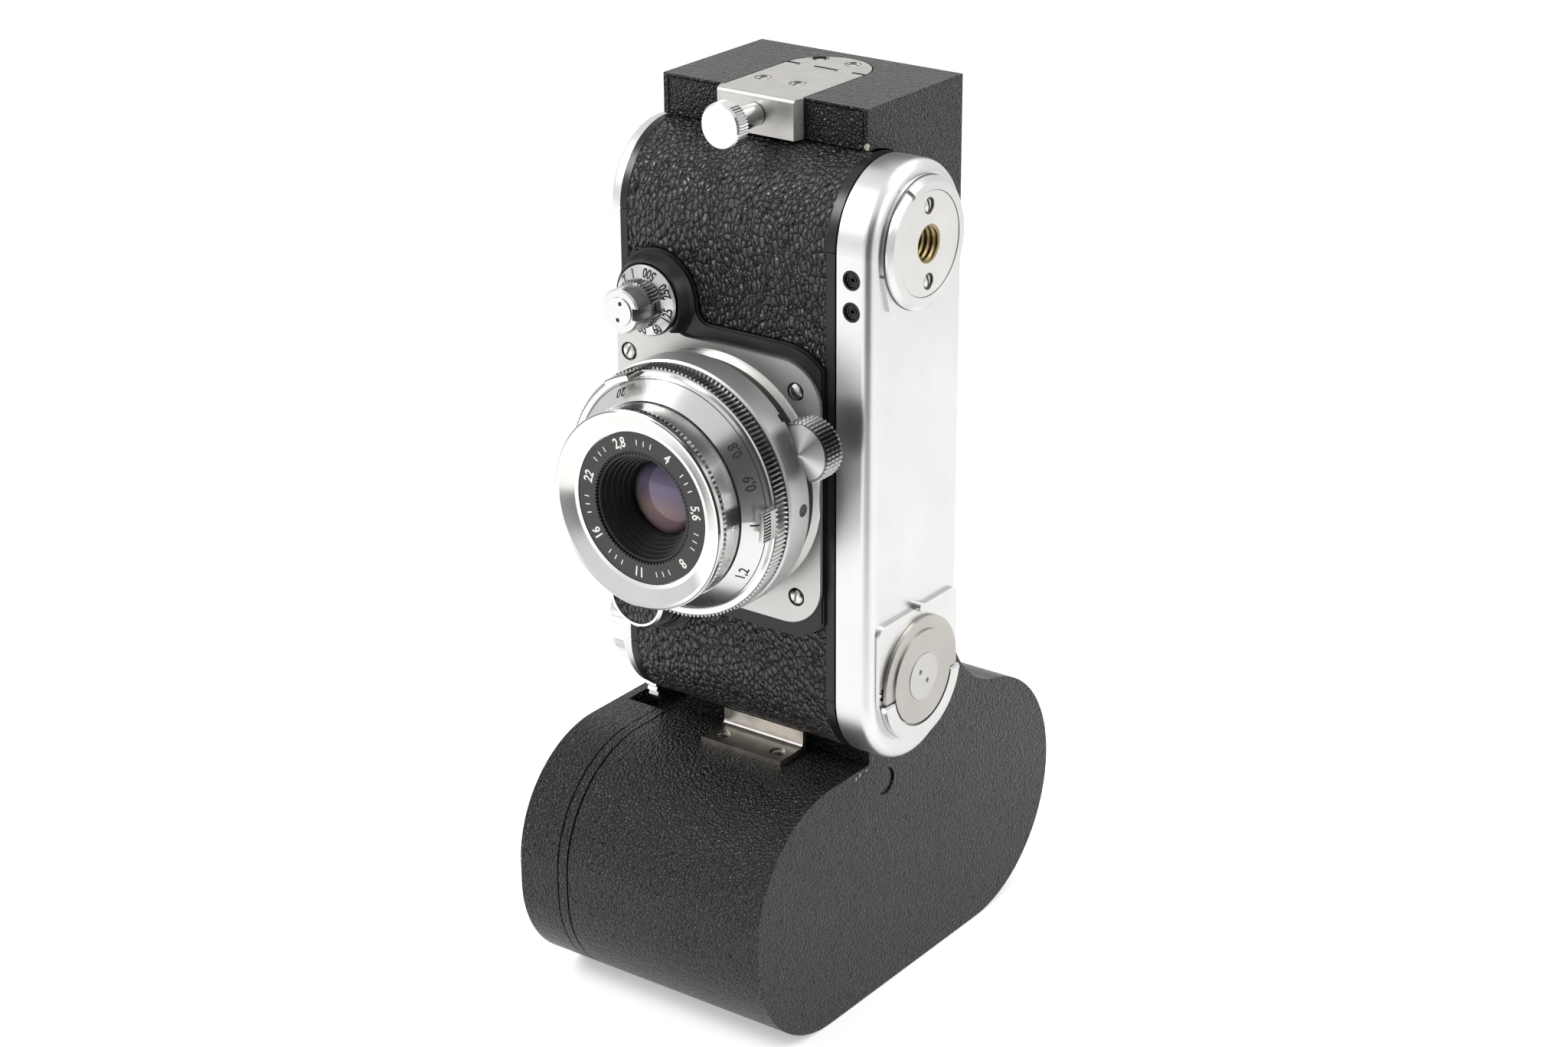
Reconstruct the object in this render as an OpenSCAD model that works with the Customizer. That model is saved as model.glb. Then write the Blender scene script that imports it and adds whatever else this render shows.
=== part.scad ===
// Spring-motor miniature camera standing on end on a bulk-film magazine back.
// The lens looks along -Y, the camera's base plate faces +X and the object stands on the magazine's flat base.
// The origin is on that base, straight below the lens axis and midway through the camera body's thickness.

/* [Camera body] */
// Thickness of the body, front to back
body_t = 39.4; // [38:0.2:42]
// Distance between the centres of the body's round ends
body_pitch = 115.2; // [110:0.4:124]
// Reach of the body casting from the lens axis towards its top plate
body_left = 30.3; // [29.5:0.1:33]
// Reach of the body casting from the lens axis towards its base plate
body_right = 34.3; // [33.6:0.1:38]
// Width of the painted rims beside the leather
rim_w = 2.1; // [1.5:0.1:3]
// Wall of the body casting
body_wall = 2.4; // [2:0.1:3]
// Thickness of the leather covering
leather_t = 0.8; // [0.5:0.05:1.2]
// Gap between the body's lower end and the magazine's deck
body_lift = 7.3; // [6.5:0.1:9]
// Height of the lens axis above the middle of the body's length, negative below it
lens_drop = -3.6; // [-5:0.1:-2]

/* [Base plate side] */
// Height of the base plate's rounded cover
base_h = 10.1; // [9:0.1:13]
// Edge radius of the base plate
base_edge_r = 3; // [2:0.25:4]
// Wall of the base plate and top plate
plate_wall = 1.5; // [1.2:0.1:2]
// Outer radius of the tripod ring
tripod_r = 16.2; // [15:0.2:17]
// Radius of the flat tripod disc
tripod_disc_r = 12.9; // [12:0.1:13.5]
// Wall radius of the tripod thread
thread_r = 4; // [3:0.1:4.5]
// Length of the tripod thread
thread_l = 10.5; // [9:0.5:12]
// Outer radius of the folding key
key_r = 16.6; // [16:0.1:17.4]
// Radius of the lock hub's flat disc
hub_r = 12.2; // [11:0.1:13]
// Thickness of the folding key
key_t = 1.6; // [1.4:0.1:2]

/* [Top plate side] */
// Height of the top plate
top_h = 3.4; // [2.6:0.1:4]
// Radius of the winding knob
wind_r = 15.4; // [13:0.2:16.4]
// Height of the winding knob
wind_h = 7.6; // [6:0.2:10]
// Radius of the release button
button_r = 4; // [3:0.1:5]
// Travel of the release button
button_travel = 2.4; // [1.5:0.1:3]

/* [Front] */
// Thickness of the black shutter platform
platform_t = 1.2; // [0.9:0.1:1.6]
// Thickness of the bright front plate
front_t = 1; // [0.8:0.1:1.4]
// Depth of the front plate's middle below the lens axis
front_drop = 1; // [0:0.1:1.6]
// Half height of the front plate
front_half = 34; // [33:0.25:35.5]
// Half width of the front plate
front_half_w = 30.8; // [30.4:0.05:31]
// Corner radius of the front plate
plate_corner = 11; // [9:0.25:13]
// Width of the platform that shows beside the front plate
platform_margin = 4; // [3:0.1:5]
// Distance of the dial's axis from the lens axis, sideways
dial_x = 18.5; // [18:0.1:19]
// Distance of the port's axis from the lens axis, sideways
port_x = 20.1; // [19.5:0.1:21]
// Height of the dial axis above the front plate's middle
dial_z = 42.3; // [41:0.2:43]
// Depth of the port axis below the front plate's middle
port_z = 34.9; // [34.5:0.1:36.5]
// Radius of the speed dial
dial_r = 9; // [8.4:0.1:9.2]
// Radius of the speed knob
speed_knob_r = 5.6; // [5:0.1:6]
// Height of the speed knob above the dial
speed_knob_h = 9.9; // [7:0.2:11]
// Radius of the port cap ring
port_r = 8.5; // [7.5:0.1:8.6]
// Height of the port cap above the platform
port_l = 9.1; // [7.5:0.1:10]
// Radius of the front plate screw heads
plate_screw_r = 2.3; // [1.8:0.1:2.6]

/* [Lens] */
// Radius of the lock ring that holds the lens
lock_ring_r = 32.3; // [31.6:0.1:33]
// Radius over the focus ring's teeth
focus_r = 31.8; // [31:0.1:32.2]
// Number of focus ring teeth
focus_teeth = 160; // [120:4:180]
// Radius of the focus ring where the distance cone begins
cone_r = 29.7; // [29:0.1:30]
// Radius of the barrel
barrel_r = 24.6; // [24:0.1:25]
// Step of the front rim above the barrel
rim_step = 0.5; // [0.2:0.05:1.2]
// Outer radius of the name ring
name_r = 19.1; // [18:0.1:19.6]
// Radius of the opening in the name ring
name_open_r = 14.1; // [13:0.1:15]
// Clear radius of the front glass
glass_r = 9.4; // [8.5:0.1:10.5]
// Distance from the front plate to the front rim
lens_l = 32; // [30.5:0.25:36]
// Radius of the lock knob
knob_r = 7.8; // [6.5:0.1:8.4]

/* [Magazine] */
// Height of the magazine's deck
deck_h = 68; // [66:0.5:74]
// Straight run between the front lobe's two round corners
lobe_flat = 6; // [3:0.5:12]
// Radius of the rear lobe
lobe_rear_r = 35.2; // [34:0.2:37]
// Distance of the front lobe's axis in front of the body's middle plane
lobe_front_y = 16.4; // [14:0.2:18]
// Distance of the rear lobe's axis behind the body's middle plane
lobe_rear_y = 52.8; // [51:0.2:56]
// Half width of the magazine's column and box
mag_half = 30.4; // [29.6:0.1:32]
// Reach of the magazine housing from the lens axis to its lid seam
seam_x = 34; // [33:0.1:36]
// Width of the magazine lid
lid_w = 12.4; // [10:0.2:16]
// Wall of the magazine
mag_wall = 2.2; // [1.8:0.1:2.6]
// Depth of the column behind the camera
column_t = 17.4; // [16:0.1:20]
// Radius of the hollow curve that joins the column to the rear lobe
throat_r = 29; // [24:0.5:31]
// Radius of the spool cores
core_r = 8; // [7:0.25:10]
// Film width
film_w = 35; // [35:0.5:36]
// Radius of the film wound on the supply spool
supply_wound_r = 25; // [15:0.5:27.5]
// Radius of the film wound on the take-up spool
takeup_wound_r = 14; // [11:0.5:24]

/* [Roller box and hasp] */
// Height of the box above the camera's upper end
box_h = 10.2; // [9.4:0.1:13]
// Reach of the box in front of the body's middle plane
box_front = 1.5; // [1:0.1:3]
// Half width of the hasp
hasp_half = 11.6; // [10:0.1:13]
// Thickness of the hasp's leaves
leaf_t = 1.5; // [1.3:0.1:1.6]
// Thickness of the hasp's turned-down flap
flap_t = 3.2; // [2.6:0.1:3.6]
// Radius of the thumb screw's head
thumb_r = 5.8; // [4.5:0.1:7]
// Length of the thumb screw from the flap to its face
thumb_l = 14.2; // [12:0.2:18]

/* [Fits] */
// Radial clearance of a shaft that turns in a bore
run_fit = 0.06; // [0.04:0.01:0.1]
// Gap between parts that lie beside each other
gap = 0.3; // [0.25:0.05:0.4]

/* [Hidden] */
$fn = 96;
eps = 0.01;
body_r = body_t / 2;
low_z = deck_h + body_lift + body_r;
high_z = low_z + body_pitch;
lens_z = (low_z + high_z) / 2 + lens_drop;
base_x = body_right;
base_face = base_x + base_h;
face_y = body_r;
platform_y = face_y + platform_t;
front_y = platform_y + front_t;
plate_z = lens_z - front_drop;
dial_field_r = 12.1;
port_field_r = 12.2;
port_collar_r = 11.2;
boss_h = 1.4;
boss_r = 31.2;
column_y0 = body_r + gap;
column_y1 = column_y0 + column_t;
box_z0 = high_z + body_r + gap;
box_z1 = box_z0 + box_h;
cover_z0 = high_z - 5;
lobe_front_r = (deck_h - lobe_flat) / 2;
lobe_front_z1 = lobe_front_r;
lobe_front_z2 = deck_h - lobe_front_r;
throat_y = column_y1 + throat_r;
throat_z = lobe_rear_r + sqrt(pow(lobe_rear_r + throat_r, 2) - pow(throat_y - lobe_rear_y, 2));
throat_share = throat_r / (throat_r + lobe_rear_r);
throat_end = throat_y + (lobe_rear_y - throat_y) * throat_share;
neck_h = low_z;
neck_r = 14;
neck_y = column_y0 - neck_r;
neck_turn_z = deck_h + neck_r;
box_back = column_y1 + 1.7;
cover_wall = 1.6;
cover_floor = 1.4;
side_flange_t = 1.3;
lid_gap = 0.25;
groove_t = 0.35;
// Shelf and well beside the camera's lower end
shelf_y = 0.7;
shelf_reach = 28.5;
shelf_h = 5.5;
well_x0 = -44;
well_x1 = -30;
well_y0 = -4.5;
well_y1 = 19;
well_z = deck_h - 6;
well_wall = 1.5;
flange_r_front = lobe_front_r - mag_wall - 1.8;
flange_r_rear = lobe_rear_r - mag_wall - 1.8;
axle_r = 3;
flange_t = 1.2;
// Lens stations, measured forward from the body's middle plane
rim_r = barrel_r + rim_step;
flange_d = front_y + boss_h;
flange_neck_r = 27;
ring_d0 = flange_d + 4.3;
ring_d1 = ring_d0 + 8;
focus_d0 = ring_d1 + gap;
focus_d1 = focus_d0 + 4;
rim_d = front_y + lens_l;
cone_d0 = focus_d1 + 0.1;
barrel_d0 = cone_d0 + (cone_r - barrel_r) * 1.06;
aperture_d0 = rim_d - 3;
name_d = rim_d - 2.1;
tube_r = 21.6;
tube_in_r = name_open_r + 0.3;
glass_d = rim_d - 10.2;
iris_d = glass_d - 9;
// Dial stations
dial_d = platform_y + 4.6;
speed_d = dial_d + speed_knob_h;
knob_a = 25;
knob_reach = lock_ring_r + 4.4;
knob_flat = knob_reach - 0.65;
knob_x = knob_reach * cos(knob_a);
knob_z = knob_reach * sin(knob_a);
knurl_pitch = 1.56;
knurl_rows = 4;
knurl_teeth = 42;
// Folding key
lock_z = low_z + 2.8;
lock_plate_t = 1;
lock_plate_r = key_r + 0.6;
lock_plate_h = 18.4;
tripod_base_t = 0.8;
tripod_corner = 13.6;
tripod_base_x = tripod_r;
tripod_base_z = 4.7;
tripod_face = base_face + tripod_base_t + 1.75;
key_x0 = base_face + lock_plate_t + 0.1;
key_axis_x = key_x0 + key_t / 2;
key_axis_z = lock_z - 3.4;
// Thumb screw
thumb_z = box_z0 + box_h * 0.5;
flap_y = box_front + 0.25;

black_paint = "#26262a";
leather = "#1f1f22";
bright = "#c9cacc";
satin = "#b4b5b7";
brass = "#b08d4a";
glass = "#6a5f78";

// Helpers that place a flat outline or a turned profile

// Extrudes an outline drawn in Y and Z along X, from x0 to x1
module along_x(x0, x1) {
    translate([x0, 0, 0]) rotate([90, 0, 90]) linear_extrude(x1 - x0) children();
}

// Extrudes an outline drawn in X and Z towards the front, from depth d0 to d1
module to_front(d0, d1) {
    translate([0, -d0, 0]) rotate([90, 0, 0]) linear_extrude(d1 - d0) children();
}

// Cylinder along X
module rod_x(r, x0, x1, y = 0, z = 0) {
    translate([x0, y, z]) rotate([0, 90, 0]) cylinder(r = r, h = x1 - x0);
}

// Cylinder towards the front
module rod_front(r, d0, d1, x = 0, z = 0) {
    translate([x, -d0, z]) rotate([90, 0, 0]) cylinder(r = r, h = d1 - d0);
}

// Ring towards the front
module ring_front(r_out, r_in, d0, d1, x = 0, z = 0) {
    difference() {
        rod_front(r_out, d0, d1, x, z);
        rod_front(r_in, d0 - 1, d1 + 1, x, z);
    }
}

// Turns a profile of radius and forward depth about an axis towards the front
module turn_front(x = 0, z = 0) {
    translate([x, 0, z]) rotate([90, 0, 0]) rotate_extrude() children();
}

// Body outline: two round ends joined by straight sides
module stadium(r) {
    translate([0, low_z]) circle(r);
    translate([0, high_z]) circle(r);
    translate([-r, low_z]) square([2 * r, high_z - low_z]);
}

// Slotted screw head on a shank, turned about Z, with its head at the top
module slotted_screw(r, head_h, shank_r, shank_l, turn = 0) {
    difference() {
        intersection() {
            cylinder(r = r, h = head_h);
            translate([0, 0, head_h - r * 1.7]) sphere(r * 1.7, $fn = 64);
        }
        rotate([0, 0, turn]) translate([-r, -r * 0.14, head_h - 0.45]) cube([2 * r, r * 0.28, 1]);
    }
    translate([0, 0, -shank_l]) cylinder(r = shank_r, h = shank_l + eps);
}

// Disc with vee teeth round its rim, drawn as one outline
module toothed(r, depth, count, h) {
    linear_extrude(h) polygon([for (k = [0:count - 1]) for (e = [0, 1])
        (r - e * depth) * [cos((k + e / 2) * 360 / count), sin((k + e / 2) * 360 / count)]]);
}

// Magazine outline in Y and Z, drawn smaller by an inset all round
module lobes(i) {
    translate([-lobe_front_y, lobe_front_z1]) circle(lobe_front_r - i);
    translate([-lobe_front_y, lobe_front_z2]) circle(lobe_front_r - i);
    translate([-lobe_front_y - lobe_front_r + i, lobe_front_z1])
        square([lobe_front_r, lobe_front_z2 - lobe_front_z1]);
    translate([-lobe_front_y, i]) square([lobe_front_y + lobe_rear_y, deck_h - 2 * i]);
    translate([lobe_rear_y, lobe_rear_r]) circle(lobe_rear_r - i);
}

// Neck beside the column: a hollow front curve, a flat top and a hollow curve down to the rear lobe
module neck(i) {
    difference() {
        translate([neck_y + i, deck_h / 2]) square([throat_end - neck_y - i, neck_h - deck_h / 2 - i]);
        translate([neck_y, neck_turn_z]) circle(neck_r + i);
        translate([neck_y - 1, neck_turn_z]) square([neck_r + 1 + i, 60]);
        translate([throat_y, throat_z]) circle(throat_r + i);
    }
}

// Hollow curve behind the column
module throat(i) {
    difference() {
        translate([column_y1 - mag_wall - i, lobe_rear_r])
            square([throat_end - column_y1 + mag_wall + i, throat_z - lobe_rear_r]);
        translate([throat_y, throat_z]) circle(throat_r + i);
    }
}

module column(i, top) {
    translate([column_y0 + i, deck_h / 2]) square([column_t - 2 * i, top - deck_h / 2]);
}

// Magazine

module magazine_housing() color(black_paint) {
    difference() {
        union() {
            along_x(-seam_x, -mag_half) {
                lobes(0);
                neck(0);
            }
            along_x(-mag_half, mag_half) {
                lobes(0);
                throat(0);
                column(0, cover_z0);
            }
            // Shelf behind the heel bracket
            translate([-shelf_reach, shelf_y, deck_h - 1])
                cube([shelf_reach + mag_half, column_y0 - shelf_y + 1, shelf_h + 1]);
        }
        along_x(-seam_x - 1, mag_half - mag_wall) difference() {
            lobes(mag_wall);
            translate([well_y0 - well_wall, well_z - well_wall]) square([well_y1 - well_y0 + 2 * well_wall, 20]);
        }
        translate([well_x1 + well_wall, well_y0 - well_wall - 1, well_z - well_wall - 1])
            cube([mag_half - mag_wall - well_x1 - well_wall, well_y1 - well_y0 + 2 * well_wall + 2,
                deck_h - mag_wall - well_z + well_wall + 1]);
        translate([-seam_x - 1, well_y0, well_z]) cube([seam_x + 1 + well_x1, well_y1 - well_y0, 20]);
        along_x(-mag_half + mag_wall, mag_half - mag_wall) {
            column(mag_wall, cover_z0 + 1);
            throat(mag_wall);
        }
        // Window for the pressure plate
        to_front(-column_y0 - mag_wall - 1, -column_y0 + 1)
            translate([-film_w / 2 - 1, lens_z - 18]) square([film_w + 2, 36]);
        // Fine groove beside the lid seam
        along_x(-seam_x + 2.8, -seam_x + 3.2) difference() {
            translate([-80, -10]) square([200, 200]);
            lobes(groove_t);
            neck(groove_t);
            translate([column_y0, deck_h / 2]) square([column_t, 200]);
        }
        for (s = spool_axes) rod_x(axle_r + run_fit, mag_half - 6, mag_half - 1, s[0], s[1]);
        rod_x(coupling_axle_r + run_fit, well_x1 - 1, well_x1 + well_wall - 0.3, coupling_y, coupling_z);
        // Crescent slot of the side screw
        along_x(mag_half - 0.6, mag_half + 1) difference() {
            translate([8.3, deck_h - 7.8]) circle(3.7);
            translate([6.9, deck_h - 7]) circle(3.4);
        }
    }
    // Bearing bosses of the spools
    for (s = spool_axes) difference() {
        rod_x(axle_r + 3, mag_half - 5, mag_half - mag_wall + eps, s[0], s[1]);
        rod_x(axle_r + run_fit, mag_half - 6, mag_half - 1, s[0], s[1]);
    }
}

spool_axes = [[-lobe_front_y, deck_h / 2], [lobe_rear_y, lobe_rear_r]];

module magazine_lid() color(black_paint) {
    x0 = -seam_x - lid_gap - lid_w;
    difference() {
        along_x(x0, -seam_x - lid_gap) {
            lobes(0);
            neck(0);
        }
        along_x(x0 + mag_wall, -seam_x) difference() {
            lobes(mag_wall);
            translate([well_y0 - well_wall, well_z - well_wall]) square([well_y1 - well_y0 + 2 * well_wall, 20]);
        }
        translate([well_x0, well_y0, well_z]) cube([-well_x0, well_y1 - well_y0, 20]);
        rod_x(axle_r + run_fit, x0 - 1, x0 + mag_wall + 1, lock_pos[0], lock_pos[1]);
    }
    for (s = spool_axes) difference() {
        rod_x(axle_r + 3, x0 + mag_wall - eps, -seam_x - 2, s[0], s[1]);
        rod_x(axle_r + run_fit, x0 + mag_wall + 1, -seam_x, s[0], s[1]);
    }
}

lock_pos = [(lobe_rear_y - lobe_front_y) / 2 - 6, deck_h / 2];

// Turning lock in the middle of the lid, with a finger bar and an inner catch
module lid_lock() color(satin) {
    x0 = -seam_x - lid_gap - lid_w;
    difference() {
        rod_x(9, x0 - 1.4, x0 - 0.1, lock_pos[0], lock_pos[1]);
        translate([x0 - 2, lock_pos[0] - 6.5, lock_pos[1] - 1.8]) cube([0.8, 13, 3.6]);
    }
    translate([x0 - 2.6, lock_pos[0] - 5.5, lock_pos[1] - 0.8]) cube([1.9, 11, 1.6]);
    rod_x(axle_r, x0 - 0.2, x0 + mag_wall + 1.6, lock_pos[0], lock_pos[1]);
    translate([x0 + mag_wall + 0.3, lock_pos[0] - 2.5, lock_pos[1] - 9]) cube([1.3, 5, 18]);
}

// Spool with two flanges and an axle that runs from the housing's boss to the lid's boss
module spool(flange_r, pos) {
    half = film_w / 2 + 0.3;
    rod_x(core_r, -half - flange_t, half + flange_t, pos[0], pos[1]);
    for (x = [-half - flange_t, half]) difference() {
        rod_x(flange_r, x, x + flange_t, pos[0], pos[1]);
        for (k = [0:4]) translate([0, pos[0], pos[1]]) rotate([72 * k, 0, 0])
            rod_x(flange_r * 0.14, x - 1, x + flange_t + 1, 0, (core_r + flange_r) / 2);
    }
    rod_x(axle_r, -seam_x - 4, mag_half - 1.3, pos[0], pos[1]);
}

module supply_spool() color(satin) spool(flange_r_rear, spool_axes[1]);

module takeup_spool() color(satin) spool(flange_r_front, spool_axes[0]);

module wound_film(r, pos) {
    difference() {
        rod_x(r, -film_w / 2, film_w / 2, pos[0], pos[1]);
        rod_x(core_r + 0.05, -film_w, film_w, pos[0], pos[1]);
    }
}

module supply_film() color("#4b463f") wound_film(supply_wound_r, spool_axes[1]);

module takeup_film() color("#4b463f") wound_film(takeup_wound_r, spool_axes[0]);

// Waisted roller that turns the film over the top of the column
roller_y = column_y0 + column_t / 2;
roller_z = cover_z0 + 14;
roller_r = 6;

module top_roller() color(satin) {
    rod_x(roller_r - 0.8, -film_w / 2, film_w / 2, roller_y, roller_z);
    for (x = [-film_w / 2 - 1.5, film_w / 2 - 2]) rod_x(roller_r, x, x + 3.5, roller_y, roller_z);
    rod_x(2, -mag_half + 2.4, mag_half - 2.4, roller_y, roller_z);
}

module pressure_plate() color(satin) {
    to_front(-column_y0 - 1.8, -column_y0 - 0.3)
        translate([-film_w / 2 - 1 + gap, lens_z - 18 + gap]) square([film_w + 2 - 2 * gap, 36 - 2 * gap]);
}

// Roller box: top, sides and back in one, with the camera's round end let into its front
module box_profile(i) {
    difference() {
        union() {
            translate([-box_front + i, box_z0]) square([box_back + box_front - 2 * i, box_h - i]);
            translate([i, cover_z0]) square([box_back - 2 * i, box_z0 - cover_z0 + eps]);
        }
        translate([0, high_z]) circle(body_r + gap + i);
        translate([-body_r - 1, 0]) square([2 * body_r + 1 + gap + i, high_z]);
    }
}

module box_cover() color(black_paint) {
    difference() {
        along_x(-mag_half, mag_half) box_profile(0);
        along_x(-mag_half + cover_wall, mag_half - cover_wall) {
            intersection() {
                box_profile(cover_wall);
                square([box_back, box_z1 - leaf_t - cover_floor]);
            }
            // Open front and open bottom between the sides
            translate([-box_front - 1, box_z0 - 1]) square([box_front + 6, box_h + 1 - leaf_t - cover_floor]);
            square([box_back - cover_wall, box_z0 - cover_wall]);
        }
        along_x(-mag_half + side_flange_t, mag_half - side_flange_t)
            translate([-box_front - 1, box_z0 - 1]) square([1 + 1.6, box_h + 0.4]);
        // Recess of the hasp with its round rear end
        translate([0, 0, box_z1 - leaf_t]) linear_extrude(leaf_t + 1) {
            translate([0, seam_y]) circle(hasp_half + 0.35);
            translate([-hasp_half - 0.35, -box_front - 1])
                square([2 * hasp_half + 0.7, seam_y + box_front + 1]);
        }
        for (p = leaf_screws) translate([p[0], p[1], box_z1 - 6]) cylinder(r = 1, h = 6);
        for (x = [-mag_half + cover_wall, mag_half - 3.2])
            rod_x(2 + run_fit, x - 1.2, x + 2.6, roller_y, roller_z);
    }
    // Roller bearings inside the two side walls
    for (s = [-1, 1]) difference() {
        rod_x(4, min(s * (mag_half - cover_wall), s * (mag_half - 4)),
            max(s * (mag_half - cover_wall), s * (mag_half - 4)) + eps, roller_y, roller_z);
        rod_x(2 + run_fit, -mag_half + 2.2, mag_half - 2.2, roller_y, roller_z);
    }
}

seam_y = 23.8;
leaf_screws = [[-6.6, 31.3], [3.2, 31.3]];
flap_screws = [[-7.5, 8.5], [2.8, 8.5]];

module box_front() color(black_paint) {
    difference() {
        to_front(box_front - 1.5, box_front - 0.1)
            translate([-mag_half + side_flange_t + gap, box_z0 + 0.1])
                square([2 * (mag_half - side_flange_t - gap), box_h - 1]);
        // Room under the hasp
        translate([-hasp_half - 0.35, -box_front - 1, box_z1 - leaf_t - gap])
            cube([2 * hasp_half + 0.7, box_front + 2, leaf_t + 1]);
        // Open-topped slot for the foot of the thumb screw
        to_front(-1, box_front + 1) {
            translate([0, thumb_z]) circle(2);
            translate([-2, thumb_z]) square([4, box_h]);
        }
    }
}

// Hasp

pin_z = box_z1 - leaf_t / 2;
knuckle_r = leaf_t / 2 - 0.05;

module hasp_leaf() color(bright)
    difference() {
        union() {
            translate([0, 0, box_z1 - leaf_t]) linear_extrude(leaf_t) intersection() {
                translate([0, seam_y]) circle(hasp_half);
                translate([-hasp_half, seam_y + 0.1]) square([2 * hasp_half, hasp_half]);
            }
            for (x = [-7.7, 3.7]) rod_x(knuckle_r, x, x + 4, seam_y, pin_z);
        }
        screw_seats(leaf_screws);
        knuckle_space([[-12, 4.2], [-3.6, 7.2], [7.8, 4.4]]);
        rod_x(pin_r + run_fit, -hasp_half - 1, hasp_half + 1, seam_y, pin_z);
    }

pin_r = 0.3;

// Countersunk seats and clearance holes of the leaf screws
module screw_seats(places)
    for (p = places) {
        translate([p[0], p[1], box_z1 - leaf_t - 1]) cylinder(r = 1.1, h = 5);
        translate([p[0], p[1], box_z1 - 0.5]) cylinder(r = 2.2, h = 1);
    }

// Radius that a leaf's square corner sweeps round the pin, with clearance
swing_r = leaf_t / sqrt(2) + 0.2;

// Room for the other leaf's knuckles, each given by its start and length
module knuckle_space(runs)
    for (k = runs) rod_x(swing_r, k[0], k[0] + k[1], seam_y, pin_z);

module hasp_flap() color(bright) {
    nose = flap_y + flap_t;
    difference() {
        union() {
            translate([-hasp_half, -flap_y - 0.5, box_z1 - leaf_t]) cube([2 * hasp_half, seam_y + flap_y + 0.4, leaf_t]);
            // Turned-down flap that narrows towards its front face
            translate([0, 0, box_z0 + 0.2]) linear_extrude(box_h - 0.2) polygon([[-hasp_half - 0.6, -flap_y],
                [-hasp_half - 0.6, -flap_y - 0.4], [-hasp_half + 0.3, -nose], [hasp_half - 0.3, -nose],
                [hasp_half + 0.6, -flap_y - 0.4], [hasp_half + 0.6, -flap_y]]);
            for (k = [[-11.5, 3.6], [-3.5, 7], [7.9, 3.6]])
                rod_x(knuckle_r, k[0], k[0] + k[1], seam_y, pin_z);
        }
        // Rounded fold at the top front edge
        difference() {
            translate([-20, -nose - 1, box_z1 - 1]) cube([40, 2, 2]);
            rod_x(1, -21, 21, -nose + 1, box_z1 - 1);
        }
        rod_front(1.5 + run_fit, flap_y - 1, nose + 1, 0, thumb_z);
        screw_seats(flap_screws);
        knuckle_space([[-7.8, 4.2], [3.6, 4.2]]);
        rod_x(pin_r + run_fit, -hasp_half - 1, hasp_half + 1, seam_y, pin_z);
    }
}

module hasp_pin() color(satin) rod_x(pin_r, -hasp_half + 0.2, hasp_half - 0.2, seam_y, pin_z);

module hasp_leaf_screws() color(satin)
    for (p = leaf_screws) translate([p[0], p[1], box_z1 - 0.5]) slotted_screw(2.1, 0.45, 0.95, 3, 30);

module hasp_flap_screws() color(satin)
    for (p = flap_screws) translate([p[0], p[1], box_z1 - 0.5]) slotted_screw(2.1, 0.45, 1.05, 0.95, 70);

// Thumb screw: a knurled head on a shank that runs through the flap
module thumb_screw() color(bright) {
    d0 = flap_y + flap_t;
    head = 3.9;
    difference() {
        translate([0, -(d0 + thumb_l - head), thumb_z]) rotate([90, 0, 0]) toothed(thumb_r, 0.4, 48, head);
        // Bevelled front edge
        turn_front(0, thumb_z) polygon([[thumb_r - 0.6, d0 + thumb_l + eps], [thumb_r + 1, d0 + thumb_l + eps],
            [thumb_r + 1, d0 + thumb_l - 1.6]]);
    }
    rod_front(2.9, d0 + gap, d0 + thumb_l - head + eps, 0, thumb_z);
    rod_front(1.5, flap_y + 0.2, d0 + gap + eps, 0, thumb_z);
}

module thumb_screw_foot() color(brass)
    rod_front(1.4, box_front - 0.9, flap_y + 0.1, 0, thumb_z);

// Heel bracket: an angle on the deck that hooks the camera's lower end
bracket_half = 12.6;
bracket_y0 = -13.6;
bracket_y1 = -2.1;

module heel_bracket() color(bright) {
    t = 1.5;
    difference() {
        union() {
            translate([-bracket_half, bracket_y0, deck_h]) cube([2 * bracket_half, bracket_y1 - bracket_y0, t]);
            translate([-bracket_half, bracket_y1 - t, deck_h]) cube([2 * bracket_half, t, 5.9]);
            // Inner fillet between the base and the upright
            along_x(-bracket_half, bracket_half) difference() {
                translate([bracket_y1 - t - 1.4, deck_h + t - eps]) square([1.4 + eps, 1.4]);
                translate([bracket_y1 - t - 1.4, deck_h + t + 1.4]) circle(1.4);
            }
        }
        for (x = [-8.8, 8.8]) {
            translate([x, -9.2, deck_h - 1]) cylinder(r = 1.2, h = 5);
            translate([x, -9.2, deck_h + t - 0.6]) cylinder(r = 2.3, h = 2);
        }
    }
}

module heel_screws() color(satin)
    for (x = [-8.8, 8.8]) translate([x, -9.2, deck_h + 0.95]) slotted_screw(2.2, 0.5, 1.1, 0.9, 20);

// Coupling wheel that takes the camera's drive down into the magazine
coupling_y = 4.4;
coupling_z = deck_h + 5;
coupling_r = 6.7;
coupling_x = 36.5;
coupling_w = 3;
coupling_axle_r = 1.2;

module coupling_gear() color(bright) {
    translate([-coupling_x - coupling_w, coupling_y, coupling_z]) rotate([0, 90, 0])
        toothed(coupling_r, 0.7, 24, coupling_w);
    rod_x(coupling_axle_r, -coupling_x - coupling_w - 0.8, well_x1 + well_wall - 0.5, coupling_y, coupling_z);
    rod_x(coupling_axle_r + 1.4, -coupling_x - eps, well_x1 - gap, coupling_y, coupling_z);
}

// Camera body

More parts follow.
